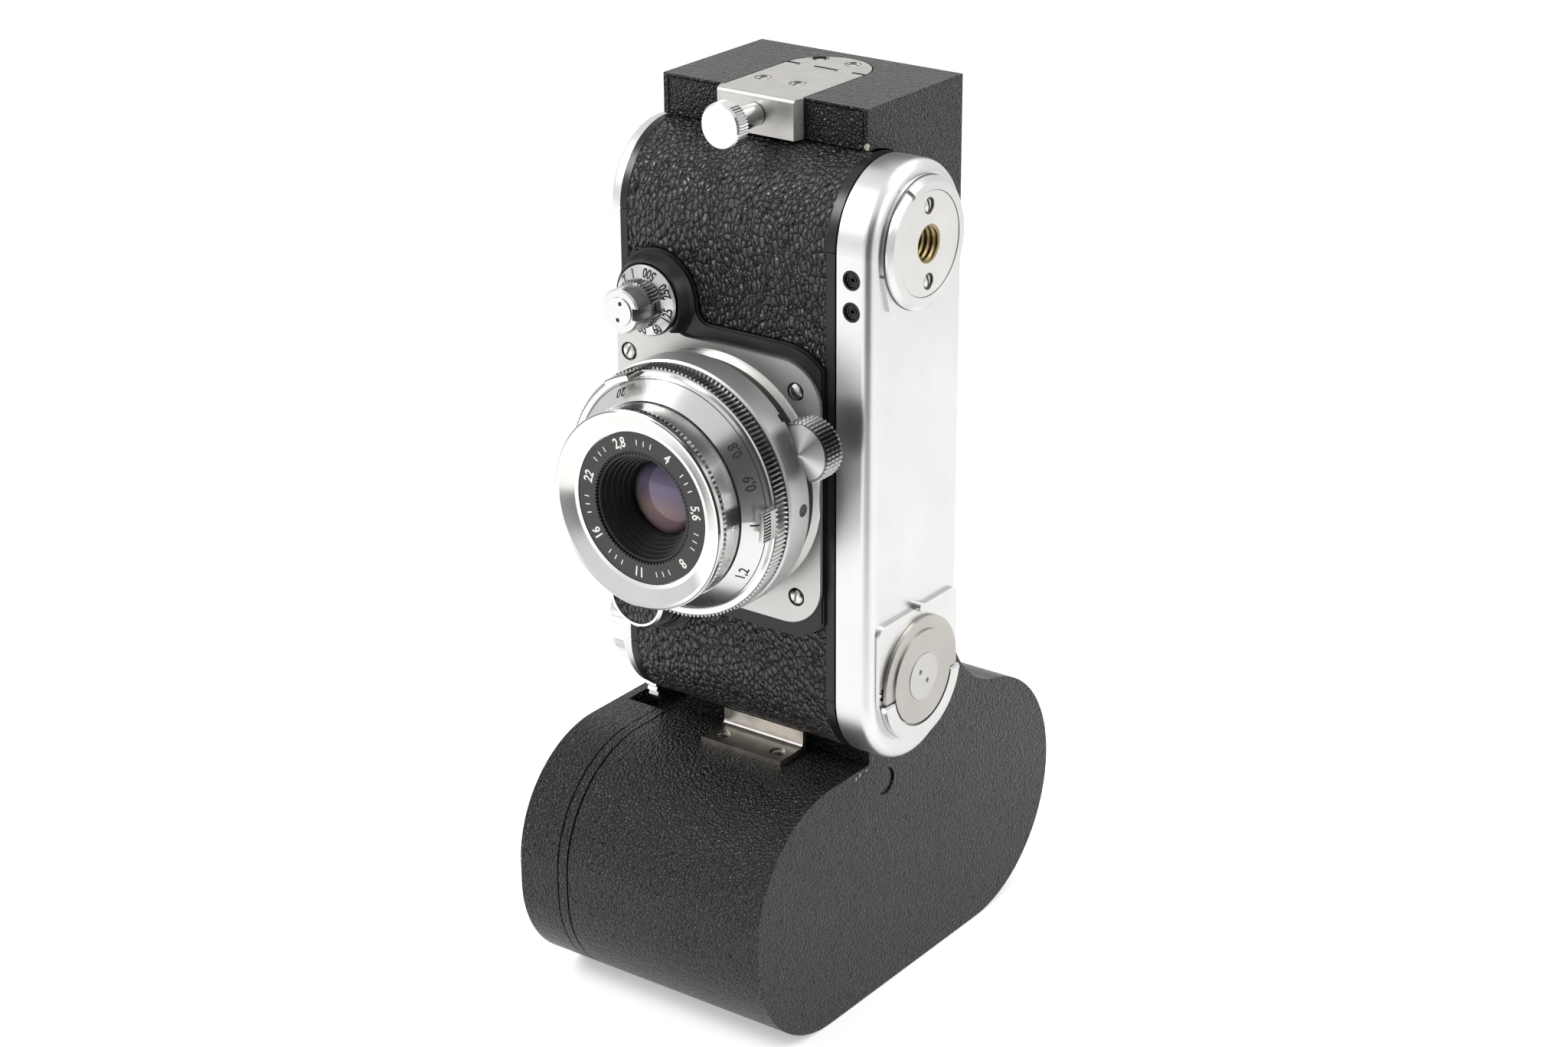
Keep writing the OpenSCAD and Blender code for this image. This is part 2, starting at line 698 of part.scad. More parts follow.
module body_casting() color(black_paint) {
    mid_r = body_r - leather_t - 0.05;
    difference() {
        union() {
            along_x(-body_left, -body_left + rim_w) stadium(body_r);
            along_x(-body_left, body_right) stadium(mid_r);
            along_x(body_right - rim_w - 0.9, body_right - 0.5) stadium(body_r);
        }
        difference() {
            along_x(-body_left + body_wall, body_right + 1) stadium(body_r - body_wall);
            // Gate block behind the lens
            translate([-25, body_r - 6.5, lens_z - 25]) cube([50, 10, 50]);
            // Web that carries the sprocket
            translate([20, -body_r, low_z - body_r]) cube([body_wall, body_t, 34]);
        }
        // Seat of the shutter platform in the rims
        translate([0, 0, plate_z]) to_front(face_y - leather_t, face_y + 1) platform_outline(-0.05);
        // Fine grooves across the rims at the ends of the straight sides
        for (z = [low_z - 0.4, high_z + 0.2]) translate([-body_left - 1, -body_r - 1, z - 0.1])
            cube([body_left + body_right + 2, 1.4, 0.2]);
        // Lens opening in the front wall
        rod_front(tube_r + 2.2, 1, body_r + 2, 0, lens_z);
        // Film gate
        translate([-12, 0, lens_z - 12]) cube([24, body_r + 2, 24]);
        // Film openings above and below the gate
        for (z = [lens_z - 25 - 22, lens_z + 25]) translate([-film_w / 2 - 1, body_r - 5, z])
            cube([film_w + 2, 8, 22]);
        // Bores for the winding shaft, shutter spindle, sprocket and release
        rod_x(4 + run_fit, -body_left - 1, -body_left + body_wall + 1, 0, low_z);
        rod_front(1.5 + run_fit, -body_r + 1.2, -5, 0, shutter_z);
        rod_x(1.5 + run_fit, -body_left + 1, body_right - 6, sprocket_y, sprocket_z);
        rod_x(1.6 + run_fit, -body_left - 1, -body_left + body_wall + 1, 0, button_z);
        for (p = plate_screws) rod_front(1, body_r - 4, body_r + 2, p[0], plate_z + p[1]);
    }
    // Heel lug that sits behind the bracket's upright
    translate([-10, bracket_y1 + gap, deck_h + 1.6]) cube([20, shelf_y - gap - bracket_y1 - gap, body_lift + 1.2]);
}

sprocket_y = 10.2;
sprocket_z = lens_z - 33;
shutter_z = lens_z + 17;
button_z = high_z - 12;
plate_screws = [[-26.8, 26.7], [23.9, 26.7], [-26.8, -22], [23.9, -26.7]];

// Outline in X and Z about the front plate's middle: rounded right corners, a lobe round the speed dial
// above and one round the port below, each joined to the straight edge by a hollow curve
module plate_outline(grow, left, lobes_r, hollow) {
    half = front_half + grow;
    corner = plate_corner + grow;
    corner_x = front_half_w + 0.3 - plate_corner;
    translate([left, -half]) square([corner_x - left, 2 * half]);
    translate([left, -half + corner]) square([corner_x + corner - left, 2 * (half - corner)]);
    for (s = [-1, 1]) translate([corner_x, s * (half - corner)]) circle(corner);
    for (s = [0, 1]) mirror([0, s]) {
        lobe_z = s > 0 ? port_z : dial_z;
        r = lobes_r[s];
        rise = half + hollow - lobe_z;
        span = sqrt(pow(r + hollow - eps, 2) - pow(rise, 2));
        lobe_x = s > 0 ? port_x : dial_x;
        translate([-lobe_x, lobe_z]) circle(r);
        difference() {
            polygon([[-lobe_x, lobe_z], [-lobe_x + span, half + hollow], [-lobe_x + span, half - 4],
                [-lobe_x, half - 4]]);
            translate([-lobe_x + span, half + hollow]) circle(hollow);
        }
        translate([left, half - 4]) square([-lobe_x - left, max(lobe_z - half, 0) + 4]);
    }
}

// Outline of the black platform, cut off where it meets the right rim
module platform_outline(i) {
    intersection() {
        plate_outline(platform_margin - i, -body_left - 1 + i, [dial_field_r - i, port_field_r - i], 4 + i);
        translate([-body_left - 1 + i, -60]) square([body_left + 1 + body_right - rim_w - 0.95 - 2 * i, 120]);
    }
}

// Leather wrapped round the front half of the body between the rims
module leather_field() {
    along_x(-body_left + rim_w + 0.1, body_right - rim_w - 1) intersection() {
        difference() {
            stadium(body_r - 0.05);
            stadium(body_r - 0.05 - leather_t);
        }
        translate([-body_r - 1, 0]) square([body_r + 1, 300]);
    }
}

module body_leather() color(leather) {
    difference() {
        leather_field();
        translate([0, 0, plate_z]) to_front(body_r - 3, body_r + 3) {
            platform_outline(-0.2);
            translate([-60, -30]) square([120, 60]);
        }
        translate([-10.3, bracket_y1, deck_h]) cube([20.6, 6, body_lift + 4]);
    }
}

module shutter_platform() color(black_paint) {
    difference() {
        union() {
            translate([0, 0, plate_z]) {
                to_front(face_y - leather_t, platform_y - 0.4) platform_outline(0);
                to_front(face_y, platform_y) platform_outline(0.5);
            }
            // Collar that stands up round the speed dial, cut away where the front plate runs under it
            difference() {
                turn_front(-dial_x, plate_z + dial_z) polygon([[0, platform_y - 0.1],
                    [dial_field_r - 0.6, platform_y - 0.1], [dial_field_r - 1.2, platform_y + 1],
                    [dial_r + 0.9, dial_d - 1.2], [dial_r + 0.4, dial_d - 1], [dial_r + 0.4, front_y + 0.2],
                    [0, front_y + 0.2]]);
                translate([0, 0, plate_z]) to_front(platform_y - 0.1, dial_d) front_outline(-0.1);
            }
        }
        // Clearance over the edge of the top plate
        translate([-body_left - 5, -face_y + 0.1, lens_z - 60]) cube([5.05, 5, 120]);
        rod_front(tube_r + 2.2, 1, 40, 0, lens_z);
        rod_front(1.6 + run_fit, 1, 40, -dial_x, plate_z + dial_z);
        for (p = plate_screws) rod_front(1, 1, 40, p[0], plate_z + p[1]);
    }
}

// Outline of the bright front plate
module front_outline(i) plate_outline(-i, -front_half_w + i + 0.4, [5 - i, 8 - i], 5.4 + i);

module front_plate() color(bright) {
    difference() {
        union() {
            translate([0, 0, plate_z]) to_front(platform_y, front_y) front_outline(0);
            // Raised round field behind the lens, cut off by the plate's outline
            intersection() {
                turn_front(0, lens_z) polygon([[0, front_y - 0.1], [boss_r + 0.3, front_y - 0.1],
                    [boss_r - 0.2, front_y + 0.5], [boss_r - 1.2, front_y + boss_h], [0, front_y + boss_h]]);
                translate([0, 0, plate_z]) to_front(platform_y, front_y + 3) front_outline(0);
            }
        }
        rod_front(tube_r + 2.2, 1, 40, 0, lens_z);
        rod_front(1.6 + run_fit, 1, 40, -dial_x, plate_z + dial_z);
        // Seat of the port's collar, open at the plate's corner
        rod_front(port_collar_r + 0.1, 1, 40, -port_x, plate_z - port_z);
        translate([-port_x - 20, -40, plate_z - port_z - 20]) cube([20, 39, 20]);
        for (p = plate_screws) {
            rod_front(1, 1, 40, p[0], plate_z + p[1]);
            rod_front(plate_screw_r + 0.1, front_y - 0.5, 40, p[0], plate_z + p[1]);
        }
    }
}

module front_plate_screws() color(bright)
    for (p = plate_screws) translate([p[0], -front_y + 0.5, plate_z + p[1]]) rotate([90, 0, 0])
        slotted_screw(plate_screw_r, 0.9, 0.95, 3.2, 75 + 1.4 * p[0] + p[1]);

// Speed dial: a shallow cone that carries the numbers
module speed_dial() color(bright) {
    difference() {
        turn_front(-dial_x, plate_z + dial_z) polygon([[0, front_y + gap], [dial_r - 0.3, front_y + gap],
            [dial_r, front_y + gap + 0.3], [dial_r, dial_d - 0.5], [dial_r - 0.4, dial_d],
            [speed_knob_r, dial_d + 0.9], [0, dial_d + 0.9]]);
        rod_front(1.6 + run_fit, 1, 60, -dial_x, plate_z + dial_z);
    }
}

module speed_knob() color(bright) {
    base = dial_d + 0.9 + gap;
    difference() {
        union() {
            turn_front(-dial_x, plate_z + dial_z) polygon([[0, base], [speed_knob_r, base],
                [speed_knob_r, speed_d - 0.5], [speed_knob_r - 0.4, speed_d], [0, speed_d]]);
            // Serrated flange next to the dial
            translate([-dial_x, -base, plate_z + dial_z]) rotate([90, 0, 0])
                toothed(speed_knob_r + 0.6, 0.5, 40, 3.2);
        }
        // Pointer notch that opens to the rim
        translate([-dial_x + speed_cap_r + 0.3, -speed_d - 1, plate_z + dial_z - 1.5]) cube([4, speed_knob_h, 3]);
        rod_front(speed_cap_r + 0.05, speed_d - 1, speed_d + 2, -dial_x, plate_z + dial_z);
    }
    rod_front(1.6, platform_y - 0.9, base + eps, -dial_x, plate_z + dial_z);
}

speed_cap_r = 3.6;

module speed_cap() color(bright) {
    difference() {
        rod_front(speed_cap_r, speed_d - 1, speed_d + 0.3, -dial_x, plate_z + dial_z);
        for (s = [-1, 1]) rod_front(0.55, speed_d - 0.5, speed_d + 2, -dial_x + s * 0.4, plate_z + dial_z + s * 2.1);
    }
}

// Port in the lower front corner: a stepped collar, a bright cap ring and a leather inlay
port_face = platform_y + port_l;
port_d = port_face - 4.7;

module port_collar() color(black_paint)
    turn_front(-port_x, plate_z - port_z) polygon([[0, platform_y], [port_collar_r, platform_y],
        [port_collar_r, platform_y + 0.6], [port_collar_r - 1, platform_y + 1.1],
        [port_collar_r - 1.4, platform_y + 1.9], [port_r + 0.9, platform_y + 2.1],
        [port_r + 0.9, port_d - 0.2], [port_r + 0.3, port_d], [0, port_d]]);

module port_cap() color(bright)
    turn_front(-port_x, plate_z - port_z) polygon([[0, port_d], [port_r - 0.3, port_d],
        [port_r, port_d + 0.3], [port_r, port_face - 0.5], [port_r - 0.5, port_face],
        [port_r - 1.1, port_face], [port_r - 1.1, port_face - 0.8], [0, port_face - 0.8]]);

module port_inlay() color(leather)
    rod_front(port_r - 1.15, port_face - 0.8, port_face - 0.2, -port_x, plate_z - port_z);

// Base plate side

// Cover of stadium outline whose outer edge is rounded
module stadium_cover(r, x0, h, edge) {
    module half_profile() {
        square([r - edge, h]);
        square([r, h - edge]);
        translate([r - edge, h - edge]) circle(edge);
    }
    for (z = [low_z, high_z]) translate([x0, 0, z]) rotate([0, 90, 0]) rotate_extrude() intersection() {
        half_profile();
        square([r + 1, h + 1]);
    }
    translate([x0, 0, low_z]) linear_extrude(high_z - low_z) for (s = [-1, 1]) intersection() {
        rotate([0, 0, 90]) scale([1, -1]) mirror([s > 0 ? 0 : 1, 0]) half_profile();
        translate([0, -r - 1]) square([h + 1, 2 * r + 2]);
    }
}

module bottom_plate() color(bright) {
    difference() {
        stadium_cover(body_r, base_x, base_h, base_edge_r);
        stadium_cover(body_r - plate_wall, base_x - 1, base_h - plate_wall + 1, base_edge_r - plate_wall / 2);
        rod_x(thread_r + bush_t + 0.05, base_face - 6, base_face + 1, 0, high_z);
        rod_x(3 + run_fit, base_face - 6, base_face + 1, 0, lock_z);
        for (z = sync_z) rod_front(sync_r + 0.05, body_r - 4, body_r + 1, sync_x, z);
    }
}

sync_r = 2.45;
sync_x = base_x + 4.2;
sync_z = [high_z - 5.5, high_z - 13.3];

// Flash sockets: a sleeve round a sunk face with rings and a centre hole
module sync_sockets() color(black_paint)
    for (z = sync_z) {
        ring_front(sync_r, 2.05, body_r - 3, body_r, sync_x, z);
        ring_front(2.1, 0.55, body_r - 3, body_r - 0.75, sync_x, z);
        ring_front(1.65, 1.3, body_r - 1, body_r - 0.5, sync_x, z);
        ring_front(0.95, 0.55, body_r - 1, body_r - 0.5, sync_x, z);
        rod_front(0.6, body_r - 3, body_r - 2, sync_x, z);
    }

module tripod_base() color(bright)
    difference() {
        along_x(base_face, base_face + tripod_base_t) translate([0, high_z]) {
            circle(tripod_r);
            // Two corners below the ring whose edges run off the round plate
            polygon([[-tripod_base_x, -tripod_base_z], [-tripod_corner, -tripod_corner],
                [-tripod_base_z, -tripod_base_x], [tripod_base_z, -tripod_base_x],
                [tripod_corner, -tripod_corner], [tripod_base_x, -tripod_base_z]]);
        }
        rod_x(thread_r + bush_t + 0.05, base_face - 1, base_face + 3, 0, high_z);
    }

module tripod_ring() color(bright)
    difference() {
        translate([base_face + tripod_base_t, 0, high_z]) rotate([0, 90, 0]) rotate_extrude() polygon([
            [tripod_disc_r + 0.05, 0], [tripod_r - 0.4, 0], [tripod_r, 0.4], [tripod_r, 0.9],
            [tripod_r - 1.2, 1.9], [tripod_disc_r + 0.05, 1.9]]);
        // Small notch in the upper front of the ring
        translate([base_face + tripod_base_t + 1, 0, high_z]) rotate([28, 0, 0])
            translate([0, 0, tripod_r - 0.6]) cube([4, 1.2, 3.4], center = true);
    }

module tripod_disc() color(satin)
    difference() {
        rod_x(tripod_disc_r, base_face + tripod_base_t, tripod_face, 0, high_z);
        rod_x(thread_r + spigot_t + 0.05, base_face, base_face + 4, 0, high_z);
        for (s = [-1, 1]) {
            rod_x(2.1, tripod_face - 0.8, base_face + 4, 0, high_z + 9.3 * s);
            rod_x(0.9, base_face, base_face + 4, 0, high_z + 9.3 * s);
        }
    }

// Threaded bush whose spigot shows inside the disc's hole
spigot_t = 0.7;
bush_t = 2;

module tripod_bush() color(brass) {
    x1 = tripod_face;
    difference() {
        union() {
            rod_x(thread_r + bush_t, x1 - thread_l, base_face + tripod_base_t - 0.05, 0, high_z);
            rod_x(thread_r + spigot_t, x1 - thread_l, x1, 0, high_z);
        }
        rod_x(thread_r, x1 - thread_l - 1, x1 + 1, 0, high_z);
    }
}

module tripod_screws() color(bright)
    for (s = [-1, 1]) translate([tripod_face - 0.75, 0, high_z + 9.3 * s]) rotate([0, 90, 0])
        slotted_screw(2, 0.7, 0.85, 0.6, 10);

module lock_plate() color(bright)
    difference() {
        along_x(base_face, base_face + lock_plate_t) translate([0, lock_z]) {
            circle(lock_plate_r);
            translate([-lock_plate_r, 0]) square([2 * lock_plate_r, lock_plate_h - 2.6]);
            translate([-lock_plate_r + 2.6, 0]) square([2 * lock_plate_r - 5.2, lock_plate_h]);
            for (s = [-1, 1]) translate([s * (lock_plate_r - 2.6), lock_plate_h - 2.6]) circle(2.6);
        }
        rod_x(3 + run_fit, base_face - 1, base_face + 3, 0, lock_z);
        rod_x(1.25, base_face - 1, base_face + 3, 0, lock_z + lock_plate_h + 0.2);
        rod_x(1.75, base_face + 0.05, base_face + 3, -lock_plate_r + 1.9, lock_z + 0.4);
    }

module lock_pins() color(bright) {
    rod_x(1.2, base_face, base_face + 2.2, 0, lock_z + lock_plate_h + 0.2);
    translate([base_face + 0.2, -lock_plate_r + 1.9, lock_z + 0.4]) rotate([0, 90, 0])
        slotted_screw(1.6, 0.7, 0.5, 0.1, 60);
}

// Hub that turns with the key: a flat disc with a half ring above it
module lock_hub() color(satin) {
    difference() {
        union() {
            rod_x(hub_r, key_x0, base_face + lock_plate_t + 1.6, 0, lock_z);
            difference() {
                rod_x(key_r - 1, key_x0, base_face + lock_plate_t + 1.1, 0, lock_z);
                translate([base_face, -30, lock_z - 60]) cube([10, 60, 60 - 2.3]);
            }
        }
        rod_x(6.1, base_face + lock_plate_t + 1, base_face + 10, 0, lock_z);
    }
    rod_x(3, base_face - 4, base_face + lock_plate_t + 0.2, 0, lock_z);
    // Pins that the folding key swings on
    for (s = [-1, 1]) translate([key_axis_x, s * (hub_r - 1.2), key_axis_z]) rotate([s > 0 ? -90 : 90, 0, 0])
        cylinder(r = 0.4, h = 3.4);
}

module lock_cap() color(bright)
    difference() {
        rod_x(6.05, base_face + lock_plate_t + 1, base_face + lock_plate_t + 1.75, 0, lock_z);
        for (s = [-1, 1]) rod_x(0.65, base_face + lock_plate_t + 1.2, base_face + 9, s * 1.5, lock_z - s * 1.6);
    }

// Half ring that folds out on two pins
module lock_key() color(bright) {
    inner = hub_r + 0.6;
    difference() {
        union() {
            difference() {
                rod_x(key_r, key_x0, key_x0 + key_t, 0, lock_z);
                translate([key_x0 - 1, -30, key_axis_z]) cube([9, 60, 60]);
            }
            translate([key_axis_x, -key_r + 0.2, key_axis_z]) rotate([-90, 0, 0])
                cylinder(r = key_t / 2, h = 2 * key_r - 0.4);
        }
        rod_x(inner, key_x0 - 1, key_x0 + 9, 0, lock_z);
        translate([key_axis_x, -hub_r - 2.6, key_axis_z]) rotate([-90, 0, 0])
            cylinder(r = 0.4 + run_fit, h = 2 * hub_r + 5.2);
    }
}

// Top plate side

module top_plate() color(bright)
    difference() {
        mirror([1, 0, 0]) stadium_cover(body_r - 0.4, body_left, top_h, 1.2);
        rod_x(4 + run_fit, -body_left - 10, -body_left + 1, 0, low_z);
        rod_x(1.6 + run_fit, -body_left - 10, -body_left + 1, 0, button_z);
        rod_x(button_r + 0.15, -body_left - 10, -body_left - top_h + 0.8, 0, button_z);
        // Counter window with its round dish
        rod_x(6.5, -body_left - 10, -body_left - top_h + 0.6, 0, high_z - 34);
    }

module winding_knob() color(bright) {
    x1 = -body_left - top_h - gap;
    x0 = x1 - wind_h;
    difference() {
        union() {
            translate([x0 + 1, 0, low_z]) rotate([0, 90, 0]) toothed(wind_r, 0.8, 58, wind_h - 2);
            rod_x(wind_r - 0.9, x0, x1, 0, low_z);
        }
        // Dished outer face
        rod_x(wind_r - 3.4, x0 - 1, x0 + 0.8, 0, low_z);
    }
    rod_x(4, x1 - 1, -body_left + body_wall + 1.2, 0, low_z);
}

module spring_drum() color(satin) {
    x0 = -body_left + body_wall + 1.2;
    drum_l = (body_left + body_right) * 0.464;
    difference() {
        union() {
            rod_x(body_r - body_wall - 2.2, x0, x0 + drum_l, 0, low_z);
            rod_x(body_r - body_wall - 1, x0, x0 + 2, 0, low_z);
        }
        rod_x(body_r - body_wall - 6, x0 + drum_l - 3, x0 + drum_l + 1, 0, low_z);
    }
}

module release_button() color(bright) {
    x1 = -body_left - top_h + 0.8 - button_travel - 0.2;
    rod_x(button_r, x1 - 2.6, x1, 0, button_z);
    rod_x(1.6, x1 - 0.1, -body_left + body_wall, 0, button_z);
}

// Sprocket with two rows of eight teeth
module film_sprocket() color(satin) {
    r = 5.6;
    rod_x(r, -film_w / 2 + 1, film_w / 2 - 1, sprocket_y, sprocket_z);
    rod_x(1.5, -body_left + 1.2, 20 + body_wall, sprocket_y, sprocket_z);
    for (x = [-14.2, 14.2]) for (k = [0:7]) translate([x, sprocket_y, sprocket_z]) rotate([45 * k, 0, 0])
        translate([-1.1, -0.8, r - 0.2]) cube([2.2, 1.6, 1.2]);
}

// Rotary disc shutter with its exposure opening
shutter_r = 26.6;
shutter_d = -8;

module shutter_disc() color(black_paint) {
    difference() {
        rod_front(shutter_r, shutter_d, shutter_d + 0.8, 0, shutter_z);
        translate([0, 0, shutter_z]) to_front(shutter_d - 1, shutter_d + 2) difference() {
            polygon([[0, 0], [2 * shutter_r * sin(30), -2 * shutter_r * cos(30)],
                [-2 * shutter_r * sin(30), -2 * shutter_r * cos(30)]]);
            circle(9);
            difference() {
                circle(80);
                circle(shutter_r - 1.6);
            }
        }
    }
    rod_front(3.2, shutter_d - 1.8, shutter_d + 2, 0, shutter_z);
    rod_front(1.5, -body_r + 2.4, shutter_d - 1, 0, shutter_z);
}

// Lens

module lens_flange() color(black_paint)
    difference() {
        union() {
            ring_front(flange_neck_r, tube_r, flange_d, ring_d0 - 0.1, 0, lens_z);
            ring_front(tube_r + 2, tube_r, front_y - 3, ring_d1 + 1, 0, lens_z);
        }
        rod_front(tube_r + 0.05, 1, 50, 0, lens_z);
    }

module lock_ring() color(satin)
    difference() {
        union() {
            turn_front(0, lens_z) polygon([[tube_r + 2 + run_fit, ring_d0], [lock_ring_r - 0.5, ring_d0],
                [lock_ring_r, ring_d0 + 0.5], [lock_ring_r, ring_d1 - 0.5], [lock_ring_r - 0.5, ring_d1],
                [tube_r + 2 + run_fit, ring_d1]]);
            // Lug that carries the knob
            rotate_about_lens(knob_a) translate([24, -ring_d0 - 2.4, -3.5]) cube([knob_reach - 22, 2.2, 7]);
        }
        rod_front(tube_r + 2 + run_fit, 1, 50, 0, lens_z);
        // Seat of the knob in the lug
        rod_front(2.55, ring_d0 - 1, ring_d1, knob_x + 1.6 * cos(knob_a), lens_z + knob_z + 1.6 * sin(knob_a));
        // Radial key hole and notch in the ring's rear edge
        rotate_about_lens(0) translate([lock_ring_r - 3, -ring_d0 - 2.9, 0]) rotate([0, 90, 0])
            cylinder(r = 1.6, h = 5);
        rotate_about_lens(41) translate([lock_ring_r - 1.2, -ring_d0 - 1.4, -1.1]) cube([4, 3, 2.2]);
    }

module rotate_about_lens(a) {
    translate([0, 0, lens_z]) rotate([0, -a, 0]) children();
}

// Knob of the lock ring: a spun cone with a diamond-knurled rim and a flat on the ring's side
module lock_knob() color(bright) {
    back = ring_d0 - 1.6;
    knurl_d0 = back + 0.3;
    knurl_l = knurl_rows * knurl_pitch;
    difference() {
        union() {
            turn_front(knob_x, lens_z + knob_z) polygon([[0, back], [knob_r - 0.9, back],
                [knob_r - 0.9, knurl_d0 + knurl_l + 0.2], [0, knurl_d0 + knurl_l + 1.3]]);
            translate([knob_x, -knurl_d0, lens_z + knob_z]) rotate([90, 0, 0])
                toothed(knob_r, 0.75, knurl_teeth, knurl_l);
        }
        // Rings that part the teeth into rows of points
        for (k = [0:knurl_rows]) translate([knob_x, -knurl_d0 - k * knurl_pitch, lens_z + knob_z])
            rotate([90, 0, 0]) rotate_extrude()
                polygon([[knob_r - 0.7, 0], [knob_r + 1, -0.45 * knurl_pitch], [knob_r + 1, 0.45 * knurl_pitch]]);
        // Flat towards the ring
        rotate_about_lens(knob_a) translate([0, -back - 20, -20]) cube([knob_flat, 40, 40]);
        // Room for the ring's lug, with a stud left standing in it
        difference() {
            rotate_about_lens(knob_a) translate([30, -ring_d0 - 2.5, -3.6]) cube([knob_reach - 27.9, 2.4, 7.2]);
            rod_front(2.5, back, 60, knob_x + 1.6 * cos(knob_a), lens_z + knob_z + 1.6 * sin(knob_a));
        }
    }
}

module focus_ring() color(bright) {
    turn_front(0, lens_z) polygon([[tube_r + 0.5, ring_d1 + 1.2], [tube_r + 2.4, ring_d1 + 1.2],
        [tube_r + 2.4, focus_d0], [focus_r - 0.75, focus_d0], [focus_r - 0.75, focus_d1],
        [focus_r - 1.2, focus_d1 + 0.15], [cone_r + 0.1, cone_d0], [tube_r + 0.5, cone_d0]]);
    translate([0, -focus_d0, lens_z]) rotate([90, 0, 0]) difference() {
        toothed(focus_r, 0.7, focus_teeth, focus_d1 - focus_d0);
        translate([0, 0, -1]) cylinder(r = focus_r - 2, h = focus_d1);
    }
    // Two finger tabs that stand forward of the teeth
    for (a = [-0.5, 114.5]) rotate_about_lens(a) focus_tab();
}

module focus_tab() {
    tab_d = focus_d1 + 4.7;
    difference() {
        intersection() {
            ring_front(focus_r - 0.4, cone_r + 0.05, focus_d1 - 0.5, tab_d);
            translate([20, 0, 0]) rotate([0, 90, 0]) linear_extrude(20) translate([-3.7, -tab_d]) square([7.4, 8]);
        }
        // Fine serrations on the outer face near the front end
        translate([0, -tab_d + 2.4, 0]) rotate([90, 0, 0]) for (k = [-4:4]) rotate([0, 0, k * 1.45])
            translate([focus_r - 0.75, 0, 0]) linear_extrude(3) polygon([[0, 0], [1, -0.7], [1, 0.7]]);
    }
}

module distance_cone() color(satin)
    turn_front(0, lens_z) polygon([[tube_r + 0.5, cone_d0], [cone_r, cone_d0],
        [barrel_r + 0.3, barrel_d0 - 0.3], [tube_r + 0.5, barrel_d0 - 0.3]]);

module lens_barrel() color(bright) {
    difference() {
        turn_front(0, lens_z) difference() {
            union() {
                translate([0, front_y - 14]) square([tube_r, barrel_d0 - front_y + 14]);
                polygon([[0, barrel_d0], [barrel_r - 0.3, barrel_d0], [barrel_r, barrel_d0 + 0.3],
                    [barrel_r, aperture_d0 - 0.2], [barrel_r - 0.2, aperture_d0 - 0.05], [0, aperture_d0 - 0.05]]);
                square([name_r + 0.15, name_d - 0.5]);
            }
            translate([-1, -20]) square([60, front_y - 14 + 20]);
            translate([-1, glass_d - 1]) square([tube_in_r + 1, 60]);
            translate([-1, iris_d + 0.8]) square([12.6, 60]);
            translate([-1, -1]) square([6, 90]);
            translate([-1, -1]) square([12.6, iris_d + 1]);
        }
        // Index dimple
        rotate_about_lens(-1) translate([barrel_r + 0.3, -barrel_d0 - 2.6, 0]) sphere(0.7, $fn = 32);
    }
}

module aperture_ring() color(bright) {
    turn_front(0, lens_z) polygon([[name_r + 0.15 + run_fit, aperture_d0], [rim_r - 0.5, aperture_d0],
        [rim_r - 0.5, aperture_d0 + 1.5], [rim_r, aperture_d0 + 1.5],
        [rim_r, rim_d - 0.4], [rim_r - 0.5, rim_d], [rim_r - 1.3, rim_d - 0.2], [name_r + 1.2, name_d + 0.3],
        [name_r + 0.15 + run_fit, name_d + 0.1]]);
    // Fine knurl beside the barrel
    translate([0, -aperture_d0 - 0.1, lens_z]) rotate([90, 0, 0]) difference() {
        toothed(rim_r - 0.05, 0.35, 120, 1.2);
        translate([0, 0, -1]) cylinder(r = rim_r - 1, h = 4);
    }
}

module name_ring() color("#141416")
    ring_front(name_r, name_open_r, name_d - 0.5, name_d, 0, lens_z);

// Black cell whose bore steps down to the glass
module baffle() color("#101012") {
    steps = 6;
    l = name_d - 0.6 - glass_d;
    turn_front(0, lens_z) polygon(concat(
        [[tube_in_r - 0.05, name_d - 0.55], [tube_in_r - 0.05, glass_d - 0.95]],
        [[glass_r + 0.1, glass_d - 0.95]],
        [for (k = [0:steps - 1]) for (e = [0, 1])
            [glass_r + 0.1 + (name_open_r - glass_r - 0.8) * (k + e * 0.5) / steps,
                glass_d - 0.9 + (l + 0.9) * (k + e) / steps]],
        [[name_open_r - 0.5, name_d - 0.55]]));
}

glass_curve = 23;
cell_r = glass_r + 2.1;

module lens_glass() color(glass) {
    // Front glass, strongly curved forward
    intersection() {
        translate([0, -glass_d + glass_curve - 1, lens_z]) sphere(glass_curve, $fn = 128);
        rod_front(glass_r, glass_d - 6, glass_d + 3, 0, lens_z);
    }
    rod_front(cell_r, glass_d - 6.1, glass_d - 1.1, 0, lens_z);
    // Rear glass
    intersection() {
        rod_front(cell_r, iris_d - 14, iris_d - 6, 0, lens_z);
        translate([0, -iris_d - 6, lens_z]) sphere(glass_curve * 0.8, $fn = 128);
    }
}

